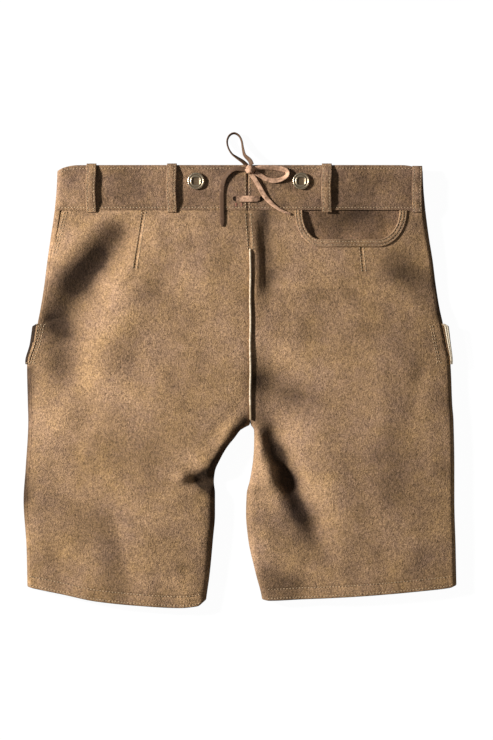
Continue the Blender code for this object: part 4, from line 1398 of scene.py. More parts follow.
@dataclass(frozen=True)
class Waistband:
    """The two halves of the waistband, open in a slit at the centre back."""

    workshop: Workshop
    finishes: Finishes
    slit_top: float = 2.4
    slit_down: float = 40.0
    corner_from: float = 190.0
    corner_drop: float = 6.0
    seam_lines: tuple[float, ...] = (3.8, 49.8)
    groove: float = 0.4

    def lowered(self, x: Array, down: Array) -> Array:
        """Round the top edge down towards the side folds."""
        past = np.maximum(np.abs(x) - self.corner_from, 0.0) / (215.0 - self.corner_from)
        return down + self.corner_drop * past ** 2 * (1 - down / self.workshop.form.band_height)

    def half_slit(self, down: Array) -> Array:
        """Half width of the slit at the centre back."""
        return np.maximum(self.slit_top * (1 - down / self.slit_down), GAP) / 2

    def build(self, half: Half) -> Object:
        """Build a half, from the centre back round the side to the centre front."""
        form = self.workshop.form
        top = [0.0, 0.25, 0.7, 1.4, 2.3, 3.1, 3.8, 4.5, 5.4]
        low = [48.2, 49.0, 49.8, 50.6, 51.5, 52.3, 52.8, 53.0]
        row = np.array(top + list(np.linspace(7, 46.5, 17)) + low)[:, None]
        roll = np.zeros(row.shape)
        roll[:4, 0] = (1.0, 0.55, 0.2, 0.05)
        roll[-3:, 0] = (0.05, 0.2, 0.6)
        side = half.value
        start = form.inner(half, row) + side * self.half_slit(row)
        level = form.outer(half, row) - side * form.side_bend
        out = np.concatenate([[0.0, 0.0015, 0.004, 0.009], np.linspace(0.018, 1, 64)])[None]
        x_back = start + out * (level - start)
        angles = np.linspace(math.pi / 2, 0, 8)[None, 1:]
        x_over = form.edge(half, row, angles, True, 0.0, False)[0]
        under = angles[:, ::-1][:, 1:]
        under = np.concatenate([under, [[math.pi / 2]]], axis=1)
        x_under = form.edge(half, row, under, False, 0.0, False)[0]
        inward = np.linspace(0, 1, 60)[None, 1:]
        x_front = level + inward * (form.inner(half, row) + side * GAP / 2 - level)
        parts = [x_back, x_over, x_under, x_front]
        column_roll = np.zeros(sum(p.shape[1] for p in parts))
        column_roll[:3] = (0.85, 0.4, 0.1)
        both = np.maximum(roll, column_roll[None])
        ends = np.cumsum([0] + [p.shape[1] for p in parts])
        grids = []
        for wall in (both, form.band_wall - both):
            columns = []
            for n, x in enumerate(parts):
                here = wall[:, ends[n]:ends[n + 1]]
                down = self.lowered(x, np.broadcast_to(row, x.shape))
                if n == 0:
                    z = form.back(half, x, down, here)
                elif n == 1:
                    x, z = form.edge(half, down, angles, True, here, False)
                elif n == 2:
                    x, z = form.edge(half, down, under, False, here, False)
                else:
                    z = form.front(half, x, down, here)
                columns.append((x, down, z))
            grid = [np.concatenate([c[n] for c in columns], axis=1) for n in range(3)]
            grids.append(grid)
        seams = sum(np.exp(-((row - at) / 1.0) ** 2) for at in self.seam_lines)
        on_back = np.arange(ends[-1])[None] < ends[1]
        grids[0][2] = grids[0][2] - self.groove * seams * on_back
        across, below = grids[0][:2]
        tone = 0.30 * soft_noise(across, below, 26, 31) + 0.18 * soft_noise(across, below, 9, 32)
        # The left half is painted 0.16 lighter than the right: painted light, brighter on the side nearer the
        # key light.
        tone = tone + 0.12 * np.exp(-(row / 2.0) ** 2) + (0.14 if half is Half.LEFT else -0.02)
        name = f"waistband_{half.name.lower()}_leather"
        outer, inner = (form.place(*grid) for grid in grids)
        thing = self.workshop.wall(name, outer, inner, self.finishes.band, Slot.SUEDE, tone)
        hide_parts(f"waistband_{half.name.lower()}")
        return thing

    def stitch(self, stitches: StitchMaker) -> None:
        """Sew along the band's edges, its slit and its front."""
        form = self.workshop.form
        for half in Half:
            side = half.value
            for at in self.seam_lines:
                ends = form.inner(half, at) + side * 2.6, form.outer(half, at) - side * 6.0
                x = np.linspace(*map(float, ends), 120)
                stitches.on_back("tan", x, self.lowered(x, np.full(x.shape, at)), -0.1)
            down = np.linspace(4.0, 49.0, 30)
            x = form.inner(half, down) + side * (self.half_slit(down) + 2.2)
            stitches.on_back("tan", x, down, 0.15)
            for at in self.seam_lines:
                x = side * np.linspace(200, 14, 90)
                z = form.front(half, x, np.full(x.shape, at), 0.0)
                stitches.row("tan", form.place(x, np.full(x.shape, at), z - 0.1))


@dataclass(frozen=True)
class FrontFlap:
    """The front's drop flap, under the waistband and the front panels."""

    workshop: Workshop
    finishes: Finishes
    top: float = 5.0
    corner: float = 22.0

    def half_width(self, down: Array) -> Array:
        """Half width at a distance down, with the lower corners rounded."""
        form = self.workshop.form
        near = np.clip((down - form.flap_bottom + self.corner) / self.corner, 0.0, 1.0)
        return form.flap_edge(down) - self.corner * (1 - np.sqrt(1 - near ** 2))

    def build(self) -> Object:
        """Build the flap."""
        form = self.workshop.form
        upper = np.linspace(self.top, form.flap_bottom - self.corner, 44)
        corner = form.flap_bottom - self.corner * (1 - np.sin(np.linspace(0, math.pi / 2, 14)[1:]))
        row = np.concatenate([upper, corner])[:, None]
        share = np.sin(np.linspace(-math.pi / 2, math.pi / 2, 50))[None]
        share = 0.3 * share + 0.7 * np.linspace(-1, 1, 50)[None]
        x = form.inner(Half.LEFT, row) + share * self.half_width(row)
        rise = form.button_rise(x, row)
        outer = form.place(x, row, rise)
        inner = form.place(x, row, rise + form.panel_wall)
        tone = 0.2 * soft_noise(x, np.broadcast_to(row, x.shape), 30, 41) - 0.05
        thing = self.workshop.wall("front_flap_leather", outer, inner, self.finishes.suede, Slot.SUEDE, tone)
        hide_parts("front_flap")
        return thing

    def stitch(self, stitches: StitchMaker) -> None:
        """Sew two rows round the flap's edge."""
        form = self.workshop.form
        down = np.linspace(self.top + 3, form.flap_bottom - self.corner, 40)
        turn = np.linspace(0, math.pi / 2, 12)
        for inset in (3.0, 6.5):
            corner_down = form.flap_bottom - self.corner + (self.corner - inset) * np.sin(turn)
            reach = form.flap_edge(corner_down) - self.corner + (self.corner - inset) * np.cos(turn)
            for side in (-1, 1):
                out = np.concatenate([form.flap_edge(down) - inset, reach])
                rows = np.concatenate([down, corner_down])
                x = form.inner(Half.LEFT, rows) + side * out
                stitches.row("tan", form.place(x, rows, form.button_rise(x, rows) - 0.1))
            ends = float(reach[-1])
            x = float(form.inner(Half.LEFT, form.flap_bottom)) + np.linspace(-ends, ends, 40)
            rows = np.full(x.shape, form.flap_bottom - inset)
            stitches.row("tan", form.place(x, rows, form.button_rise(x, rows) - 0.1))


# ------------------------------------------------------------------ trim


@dataclass(frozen=True)
class BeltLoops:
    """Strips sewn across the waistband, standing off between their ends."""

    workshop: Workshop
    finishes: Finishes
    thick: float = 1.5
    opening: float = 3.0
    bottom: float = 55.5
    front_ends: tuple[float, float] = (1.0, 51.0)
    wrap: float = 3.4
    sewn: float = 0.25
    stitch_in: float = 2.0

    def places(self) -> dict[str, tuple[float, float]]:
        """Place across and top end of each of the back's loops."""
        return {
            "belt_loop_back_left_outer": (-175.0, -2.0), "belt_loop_back_left_inner": (-80.5, -2.0),
            "belt_loop_back_right_inner": (101.5, -2.0), "belt_loop_back_right_outer": (208.0, 1.0),
        }

    def over(self, x: Array, down: Array, part: Array) -> Array:
        """Height of a back loop's under side."""
        base = self.workshop.form.tops(x, np.maximum(down, 0.0)) + GAP
        bow = self.opening * ramp(np.minimum(part, 1 - part) / self.sewn)
        return base + bow - self.wrap * ramp(-down / 2.0)

    def section(self) -> tuple[Array, Array]:
        """Columns of a loop, and its thickness at each."""
        outs = np.array([-1.0, -0.95, -0.82, -0.66, -0.5, -0.2, 0.2, 0.5, 0.66, 0.82, 0.95, 1.0])
        full = np.array([0.55, 0.85, 1.0, 0.72, 1.0, 1.1, 1.1, 1.0, 0.72, 1.0, 0.85, 0.55])
        return outs * self.workshop.form.loop_width / 2, full * self.thick

    def build_back(self, node: str, x: float, top: float) -> Object:
        """Build a loop over the back's waistband."""
        runs = (np.linspace(0, 0.06, 6), np.linspace(0.08, 0.93, 36), np.linspace(0.95, 1, 4))
        part = np.concatenate(runs)[:, None]
        down = top + part * (self.bottom - top)
        outs, full = self.section()
        places = x + outs[None] + 0.5 * np.sin(part * 7 + x)
        under = self.over(places, down, part)
        down = np.broadcast_to(down, places.shape)
        outer = self.workshop.form.place(places, down, under + full[None])
        inner = self.workshop.form.place(places, down, under)
        # The raised middle columns are painted 0.1 lighter, painted light on the crown, and the whole loop
        # 0.2 lighter than the band, painted light of a strip leaning into the light together with its paler
        # leather.
        crown_light = 0.1 * (full[None] / self.thick > 1)
        tone = 0.25 * soft_noise(places, down, 8, 51) + crown_light + np.zeros(places.shape)
        thing = self.workshop.wall(node + "_strip", outer, inner, self.finishes.band, Slot.SUEDE, tone + 0.2)
        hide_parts(node)
        return thing

    def build_front(self, node: str, x: float) -> Object:
        """Build a loop under the front's waistband."""
        down = np.linspace(*self.front_ends, 26)[:, None]
        outs, full = self.section()
        places = x + outs[None] + 0 * down
        down = np.broadcast_to(down, places.shape)
        outer = self.workshop.form.place(places, down, self.thick - np.minimum(full, self.thick)[None])
        inner = self.workshop.form.place(places, down, self.thick)
        thing = self.workshop.wall(node + "_strip", outer, inner, self.finishes.band, Slot.SUEDE)
        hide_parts(node)
        return thing

    def build(self) -> None:
        """Build every loop."""
        for node, (x, top) in self.places().items():
            self.build_back(node, x, top)
        centre = float(self.workshop.form.inner(Half.LEFT, 0.0))
        for node, side in (("belt_loop_front_left", -1), ("belt_loop_front_right", 1)):
            self.build_front(node, centre + side * self.workshop.form.front_loop_out)

    def stitch(self, stitches: StitchMaker) -> None:
        """Sew along both edges of each back loop and across its lower end."""
        form = self.workshop.form
        for x, top in self.places().values():
            part = np.linspace(0.05, 0.97, 40)
            down = top + part * (self.bottom - top)
            for side in (-1, 1):
                places = x + side * (form.loop_width / 2 - self.stitch_in) + 0.5 * np.sin(part * 7 + x)
                z = self.over(places, down, part) + 0.8 * self.thick
                stitches.row("tan", form.place(places, down, z))
            for at in (0.93, 0.965):
                places = x + np.linspace(-3.4, 3.4, 6)
                down = np.full(6, top + at * (self.bottom - top))
                z = self.over(places, down, np.full(6, at)) + self.thick
                stitches.row("tan", form.place(places, down, z))


@dataclass(frozen=True)
class BackPocket:
    """The bound, scooped opening in the right back panel and the facing in it."""

    workshop: Workshop
    finishes: Finishes
    panels: Panels
    margin: float = 11.0
    facing_wall: float = 1.5
    sag: float = 1.6
    inner_arc: float = 0.32
    straight: float = 0.62

    def edge(self, part: Array) -> tuple[Array, Array]:
        """Follow the opening's edge.

        Args:
            part: shares of the way from its left end to its right end.

        Returns:
            Points (x, down) and the directions away from the opening.
        """
        p = self.panels
        turn_in = math.pi / 2 * np.clip(part / self.inner_arc, 0, 1)
        turn_out = math.pi / 2 * np.clip((1 - part) / (1 - self.straight), 0, 1)
        share = np.clip((part - self.inner_arc) / (self.straight - self.inner_arc), 0, 1)
        start, end = p.pocket_in + p.pocket_round_in, p.pocket_out - p.pocket_round_out
        first, last = part < self.inner_arc, part > self.straight
        x = start + share * (end - start)
        x = np.where(first, start - p.pocket_round_in * np.cos(turn_in), x)
        x = np.where(last, end + p.pocket_round_out * np.cos(turn_out), x)
        turn = np.where(first, turn_in, np.where(last, turn_out, math.pi / 2))
        down = p.first_row + p.pocket_depth * np.sin(turn)
        wide = np.where(first, p.pocket_round_in, p.pocket_round_out)
        away = np.stack([np.where(first, -1, 1) * np.cos(turn) / wide, np.sin(turn) / p.pocket_depth], axis=1)
        away /= np.linalg.norm(away, axis=1, keepdims=True)
        return np.stack([x, down], axis=1), away

    def binding(self) -> Object:
        """Build the leather binding, rolled over the opening's edge."""
        line, away = self.edge(np.linspace(0, 1, 110))
        outs = [-0.75, -0.7, -0.3, 0.5, 1.2, 2.0, 3.1, 4.1, 5.1, 6.2, 7.1, 7.9, 8.4, 8.7]
        over = [-0.9, 0.2, 1.15, 1.8, 1.7, 1.05, 1.7, 1.85, 1.7, 1.05, 1.6, 1.6, 1.2, 0.6]
        under = [-1.1, -1.0, GAP] + [GAP] * 11
        thing = self.workshop.ribbon(
            "pocket_binding_leather", line, away, outs, over, under, self.finishes.suede, Slot.SUEDE
        )
        places = np.zeros(len(thing.data.vertices) * 3)
        thing.data.vertices.foreach_get("co", places)
        places = places.reshape(-1, 3) / MM
        tone = 0.25 * soft_noise(places[:, 0], places[:, 1], 11, 61) - 0.12
        thing.data.attributes["tone"].data.foreach_set("value", tone.astype(np.float32))
        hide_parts("back_pocket_binding")
        return thing

    def facing(self) -> Object:
        """Build the darker facing that shows in the opening."""
        form, p = self.workshop.form, self.panels
        x0, x1 = p.pocket_in - self.margin, p.pocket_out + 6.0
        deep = p.first_row + p.pocket_depth + self.margin
        row = np.linspace(p.first_row - 3.0, deep, 40)[:, None]
        x = np.linspace(x0, x1, 70)[None]
        inside = np.minimum(np.minimum(x - x0, x1 - x), deep - row)
        sag = self.sag * ramp((inside - self.margin) / 14) * ramp((row - 52) / 12)
        sag = sag + 1.6 * np.exp(-(((x - 126) / 24) ** 2 + ((row - 68) / 11) ** 2))
        sag = sag + 0.7 * ramp((p.first_row + 0.5 - row) / 1.5)
        under = form.back(Half.RIGHT, x, row, 0.0) - form.panel_wall - 0.5
        row = np.broadcast_to(row, under.shape)
        x = np.broadcast_to(x, under.shape)
        outer = form.place(x, row, under - sag + 0.25 * soft_noise(x, row, 16, 63))
        inner = form.place(x, row, under - sag - self.facing_wall)
        tone = 0.35 * soft_noise(x, row, 18, 62) + 0.05
        # A darker patch just below the waistband's edge: painted shade in the opening under the band.
        tone = tone - 1.1 * np.exp(-(((x - 134) / 34) ** 2 + ((row - 62) / 17) ** 2))
        thing = self.workshop.wall(
            "pocket_facing_leather", outer, inner, self.finishes.under, Slot.UNDER, tone
        )
        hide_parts("back_pocket_facing")
        return thing

    def stitch(self, stitches: StitchMaker) -> None:
        """Sew two rows along the binding."""
        line, away = self.edge(np.linspace(0.01, 0.99, 120))
        for out in (2.0, 6.2):
            at = line + away * out
            stitches.on_back("tan", at[:, 0], at[:, 1], 1.2)


@dataclass(frozen=True)
class KnifePockets:
    """The pocket pieces that show outside the back's edges, and the pale cut edge."""

    workshop: Workshop
    finishes: Finishes
    first: float = 186.5
    last: float = 234.0
    bulge: float = 4.0
    wall: float = 1.5
    tuck: float = 1.2
    shadow_wide: tuple[float, float] = (4.6, 2.8)
    edge_wall: float = 1.0
    edge_turn: float = 0.85
    edge_drop: float = 0.8

    def over(self, half: Half, row: Array, angle: Array, upper: bool, level: Array) -> tuple[Array, Array]:
        """Points over the outer fold, moved out by the pocket's bulge."""
        bulge = self.bulge * (1 - (row - self.first) / (self.last - self.first)) ** 0.7
        x, z = self.workshop.form.edge(half, row, angle, upper, -level, False)
        return x + half.value * bulge * np.cos(angle) * ramp((row - self.first) / 3.0), z

    def build(self, half: Half) -> Object:
        """Build the piece on one side seam."""
        form = self.workshop.form
        row = np.linspace(self.first, self.last, 40)[:, None]
        start = form.seam_angle(half, row, -self.tuck)
        steps = np.array([1.0, 0.97, 0.93, 0.84, 0.75, 0.66, 0.58, 0.5, 0.4, 0.3, 0.15, 0.0])[None]
        past = np.linspace(0, 0.35, 5)[None, 1:]
        grids, insets = [], []
        for thick in (self.wall, 0.0):
            level = GAP + thick * (0.2 + 0.8 * ramp((1 - steps) / 0.4))
            x0, z0 = self.over(half, row, start * steps, True, level)
            x1, z1 = self.over(half, row, past, False, GAP + thick)
            x = np.concatenate([x0, x1], axis=1)
            insets.append(np.abs(x - x[:, steps.size - 1:steps.size]))
            z = np.concatenate([z0, z1], axis=1)
            grids.append(form.place(x, np.broadcast_to(row, x.shape), z))
        node = f"knife_pocket_{half.name.lower()}"
        thing = self.workshop.wall(node + "_leather", grids[0], grids[1], self.finishes.suede, Slot.SUEDE)
        # The near-black finish goes on the strip along the piece's outer tip and on its under side: painted
        # shadow of the gaping pocket mouth.
        thing.data.materials.append(self.finishes.painted_shade)
        inset = insets[0]
        wide = np.linspace(*self.shadow_wide, 39)[:, None] if half is Half.LEFT else 1.0
        dark = (inset[1:, 1:] < wide) | (np.arange(inset.shape[1] - 1)[None] >= steps.size - 2)
        index = np.ones(len(thing.data.polygons), int)
        index[:dark.size] = dark.ravel()
        thing.data.polygons.foreach_set("material_index", index)
        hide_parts(node)
        return thing

    def cut_edge(self) -> Object:
        """Build the pale cut edge that stands out level over the right side pocket, grooved along."""
        form = self.workshop.form
        row = np.linspace(self.first, self.last, 40)[:, None]
        part = np.array([0.0, 0.03, 0.1, 0.25, 0.38, 0.45, 0.52, 0.65, 0.85, 0.96, 1.0])[None]
        full = np.array([0.3, 0.8, 1.0, 1.0, 0.75, 0.3, 0.75, 1.0, 1.0, 0.75, 0.3])[None]
        turn = self.edge_turn * form.seam_angle(Half.RIGHT, row, -self.tuck)
        x0, z0 = self.over(Half.RIGHT, row, turn, True, 2 * GAP + self.wall)
        x1 = self.over(Half.RIGHT, row, 0.0 * turn, True, GAP + self.wall)[0]
        x = x0 + part * (x1 - x0)
        low = z0 - self.edge_drop * part ** 2
        down = np.broadcast_to(row, x.shape)
        outer, inner = (form.place(x, down, low + thick * full) for thick in (self.edge_wall, 0.0))
        tone = np.full(x.shape, 0.7)
        thing = self.workshop.wall(
            "knife_pocket_cut_edge", outer, inner, self.finishes.piping, Slot.PIPING, tone
        )
        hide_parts("knife_pocket_edge_right")
        return thing

    def stitch(self, stitches: StitchMaker) -> None:
        """Sew the pockets' short rows beside the seams."""
        form = self.workshop.form
        row = np.linspace(self.first + 3, self.last - 3, 24)
        for half, insets in ((Half.LEFT, (2.5, 5.5, 8.5)), (Half.RIGHT, (13.5, 16.0))):
            for inset in insets:
                x = form.outer(half, row) - half.value * inset
                stitches.on_back("tan", x, row)
            for at in (self.first + 1.0, self.last - 1.5):
                reach = np.linspace(insets[0] - 2.5, insets[-1] + 1.0, 8)
                rows = np.full(8, at)
                stitches.on_back("tan", form.outer(half, rows) - half.value * reach, rows)


@dataclass(frozen=True)
class CentrePiping:
    """The pale piping that stands along the centre back seam."""

    workshop: Workshop
    finishes: Finishes
    first: float = 99.0
    last: float = 299.0
    width: float = 3.9
    height: float = 2.6
    sides: int = 14
    tail: float = 281.0

    def tree(self) -> NodeTree:
        """Build the tree that sweeps an oval section along a line."""
        tree = bpy.data.node_groups.new("piping_sweep", "GeometryNodeTree")
        face = tree.interface
        face.new_socket("Geometry", in_out="INPUT", socket_type="NodeSocketGeometry")
        for label, default in (("Width", self.width * MM), ("Height", self.height * MM)):
            face.new_socket(label, in_out="INPUT", socket_type="NodeSocketFloat").default_value = default
        face.new_socket("Leather", in_out="INPUT", socket_type="NodeSocketMaterial")
        face.new_socket("Geometry", in_out="OUTPUT", socket_type="NodeSocketGeometry")
        put = add(tree, "NodeGroupInput", {}).outputs
        ring = add(tree, "GeometryNodeCurvePrimitiveCircle", {"Resolution": self.sides, "Radius": 0.5})
        size = add(tree, "ShaderNodeCombineXYZ", {"X": put["Height"], "Y": put["Width"], "Z": 1.0})
        links = {"Geometry": ring.outputs["Curve"], "Scale": size.outputs[0]}
        oval = add(tree, "GeometryNodeTransform", links)
        upright = add(tree, "GeometryNodeSetCurveNormal", {"Curve": put["Geometry"]}, mode="Z_UP")
        swept = add(tree, "GeometryNodeCurveToMesh", {
            "Curve": upright.outputs["Curve"], "Profile Curve": oval.outputs["Geometry"], "Fill Caps": True,
        })
        real = add(tree, "GeometryNodeRealizeInstances", {"Geometry": swept.outputs["Mesh"]})
        links = {"Geometry": real.outputs["Geometry"], "Material": put["Leather"]}
        dyed = add(tree, "GeometryNodeSetMaterial", links)
        out = tree.nodes.new("NodeGroupOutput")
        tree.links.new(dyed.outputs["Geometry"], out.inputs["Geometry"])
        return tree

    def build(self) -> Object:
        """Sweep the piping along the seam."""
        form = self.workshop.form
        row = np.linspace(self.first, self.last, 160)
        x = form.inner(Half.LEFT, row) + 0.25 * np.sin(row / 9.0)
        z = form.tops(x, row) + 0.85 - 1.6 * ramp((self.first + 4 - row) / 4)
        points = form.place(x, row, z)
        curve = bpy.data.curves.new("piping_line", "CURVE")
        curve.dimensions = "3D"
        spline = curve.splines.new("POLY")
        spline.points.add(len(points) - 1)
        weighted = np.concatenate([points, np.ones((len(points), 1))], axis=1)
        spline.points.foreach_set("co", weighted.reshape(-1))
        guide = bpy.data.objects.new("piping_line", curve)
        bpy.context.scene.collection.objects.link(guide)
        nodes = guide.modifiers.new("sweep", "NODES")
        nodes.node_group = self.tree()
        for item in nodes.node_group.interface.items_tree:
            if item.item_type == "SOCKET" and item.in_out == "INPUT" and item.name == "Leather":
                nodes[item.identifier] = self.finishes.piping
        mesh = bpy.data.meshes.new_from_object(guide.evaluated_get(bpy.context.evaluated_depsgraph_get()))
        bpy.data.objects.remove(guide, do_unlink=True)
        mesh.name = "centre_piping_leather"
        mesh.shade_smooth()
        thing = bpy.data.objects.new("centre_piping_leather", mesh)
        bpy.context.scene.collection.objects.link(thing)
        ring = np.minimum(np.arange(len(mesh.vertices)) // self.sides, len(row) - 1)
        self.workshop.shade(thing, -1.3 * ramp((row[ring] - self.tail) / 3))
        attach(thing, BODY)
        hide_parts("centre_piping")
        LOG.info("centre piping: %d faces", len(mesh.polygons))
        return thing


class Turned(NamedTuple):
    """A step of a turned profile, and how dull its metal is."""

    radius: float
    height: float
    dull: float


@dataclass(frozen=True)
class Buttons:
    """Metal buttons with a rolled rim, notches and a squarish sunk middle."""

    workshop: Workshop
    finishes: Finishes
    profile: tuple[Turned, ...] = (
        Turned(0.0, 0.0, 0.6), Turned(4.2, 0.0, 0.6), Turned(4.3, 0.7, 0.6), Turned(8.6, 0.8, 0.6),
        Turned(9.5, 1.05, 0.5), Turned(9.9, 1.5, 0.3), Turned(10.0, 1.9, 0.1), Turned(9.85, 2.4, 0.0),
        Turned(9.5, 2.8, 0.0), Turned(9.0, 3.0, 0.0), Turned(8.5, 2.95, 0.0), Turned(8.1, 2.7, 0.15),
        Turned(7.85, 2.35, 0.5), Turned(7.5, 2.15, 0.85), Turned(7.0, 2.15, 0.8), Turned(6.6, 2.4, 0.3),
        Turned(6.2, 2.6, 0.1), Turned(5.6, 2.68, 0.1), Turned(5.0, 2.62, 0.15), Turned(4.6, 2.4, 0.4),
        Turned(4.3, 1.85, 1.0), Turned(3.9, 1.55, 1.0), Turned(2.0, 1.5, 0.9), Turned(0.0, 1.55, 0.8),
    )
    segments: int = 72
    notches: int = 26
    notch_deep: float = 0.35
    square_from: float = 6.8
    down: float = 19.0

    def build(self, node: str, x: float, down: float, base: float, upward: bool) -> Object:
        """Build a button.

        Args:
            node: the frame's node that it stands for.
            x: its place across.
            down: its place down.
            base: the height of its lowest (or, face down, highest) point.
            upward: whether its face is up.

        Returns:
            The button.
        """
        turn = np.arange(self.segments) / self.segments * 2 * math.pi
        rings, dull = [], []
        for step in self.profile[1:-1]:
            inside = ramp((self.square_from - step.radius) / 1.5) * (step.height > 1.0)
            square = (np.abs(np.cos(turn)) ** 5 + np.abs(np.sin(turn)) ** 5) ** (-1 / 5)
            radius = step.radius * (1 + inside * (square - 1) * 0.8)
            rim = np.exp(-((step.radius - 9.1) / 0.6) ** 2) * (step.height > 2.0)
            notch = np.clip(np.cos(turn * self.notches) * 2.2 - 0.9, 0, 1) * rim
            height = step.height - self.notch_deep * notch
            rings.append(np.stack([radius * np.cos(turn), radius * np.sin(turn), height], axis=1))
            dull.append(step.dull + 0.7 * notch)
        points = np.concatenate([[[0, 0, self.profile[0].height]], *rings, [[0, 0, self.profile[-1].height]]])
        shades = np.concatenate([[self.profile[0].dull], *dull, [self.profile[-1].dull]])
        count = self.segments
        faces: list[tuple[int, ...]] = []
        for k in range(count):
            n = (k + 1) % count
            faces.append((0, 1 + n, 1 + k))
            last = 1 + count * (len(rings) - 1)
            faces.append((last + k, last + n, len(points) - 1))
            for r in range(len(rings) - 1):
                a = 1 + r * count
                faces.append((a + k, a + n, a + count + n, a + count + k))
        if not upward:
            points = points * np.array([1, -1, -1])
        points = points * MM + self.workshop.form.place(x, down, base)
        thing = self.workshop.piece(node + "_metal", points, faces, self.finishes.metal, Slot.METAL)
        self.workshop.shade(thing, shades)
        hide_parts(node)
        return thing

    def build_all(self) -> None:
        """Build the back's and the front's buttons."""
        form = self.workshop.form
        for node, x in (("button_back_left", -51.7), ("button_back_right", 71.7)):
            self.build(node, x, self.down, form.top(x, self.down) + GAP, True)
        centre = float(form.inner(Half.LEFT, form.front_button_down))
        for node, side in (("button_front_left", -1), ("button_front_right", 1)):
            x = centre + side * form.front_button_out
            self.build(node, x, form.front_button_down, form.front_button_rise - GAP, False)


# ------------------------------------------------------------------ lace


class Place(NamedTuple):
    """A point of the lace: height above the waistband, and how far it stands on edge."""

    x: float
    down: float
    above: float
    tilt: float = 0.0


# The thong's section, as shares of its half width and half thickness.
THONG_ACROSS = np.array([-1, -0.97, -0.85, -0.4, 0.4, 0.85, 0.97, 1, 0.97, 0.85, 0.4, -0.4, -0.85, -0.97])
THONG_HIGH = np.array([0, 0.6, 0.95, 1.0, 1.0, 0.95, 0.6, 0, -0.6, -0.95, -1.0, -1.0, -0.95, -0.6])


class Wrap(NamedTuple):
    """A turn of thong round the knot: its angle, half length, half height, width and lift."""

    angle: float
    long: float
    high: float
    wide: float
    lift: float


WRAPS = (Wrap(0.5, 4.9, 3.1, 5.6, 0.0), Wrap(-0.75, 4.4, 3.5, 5.0, 0.2), Wrap(1.9, 3.6, 3.7, 4.2, 0.3))
# The turns' section: how far out each point stands, and its share of the half width.
WRAP_SECTION = (
    (0.0, -1), (0.75, -0.96), (1.0, -0.7), (1.05, 0), (1.0, 0.7), (0.75, 0.96), (0.0, 1), (-0.3, 0),
)


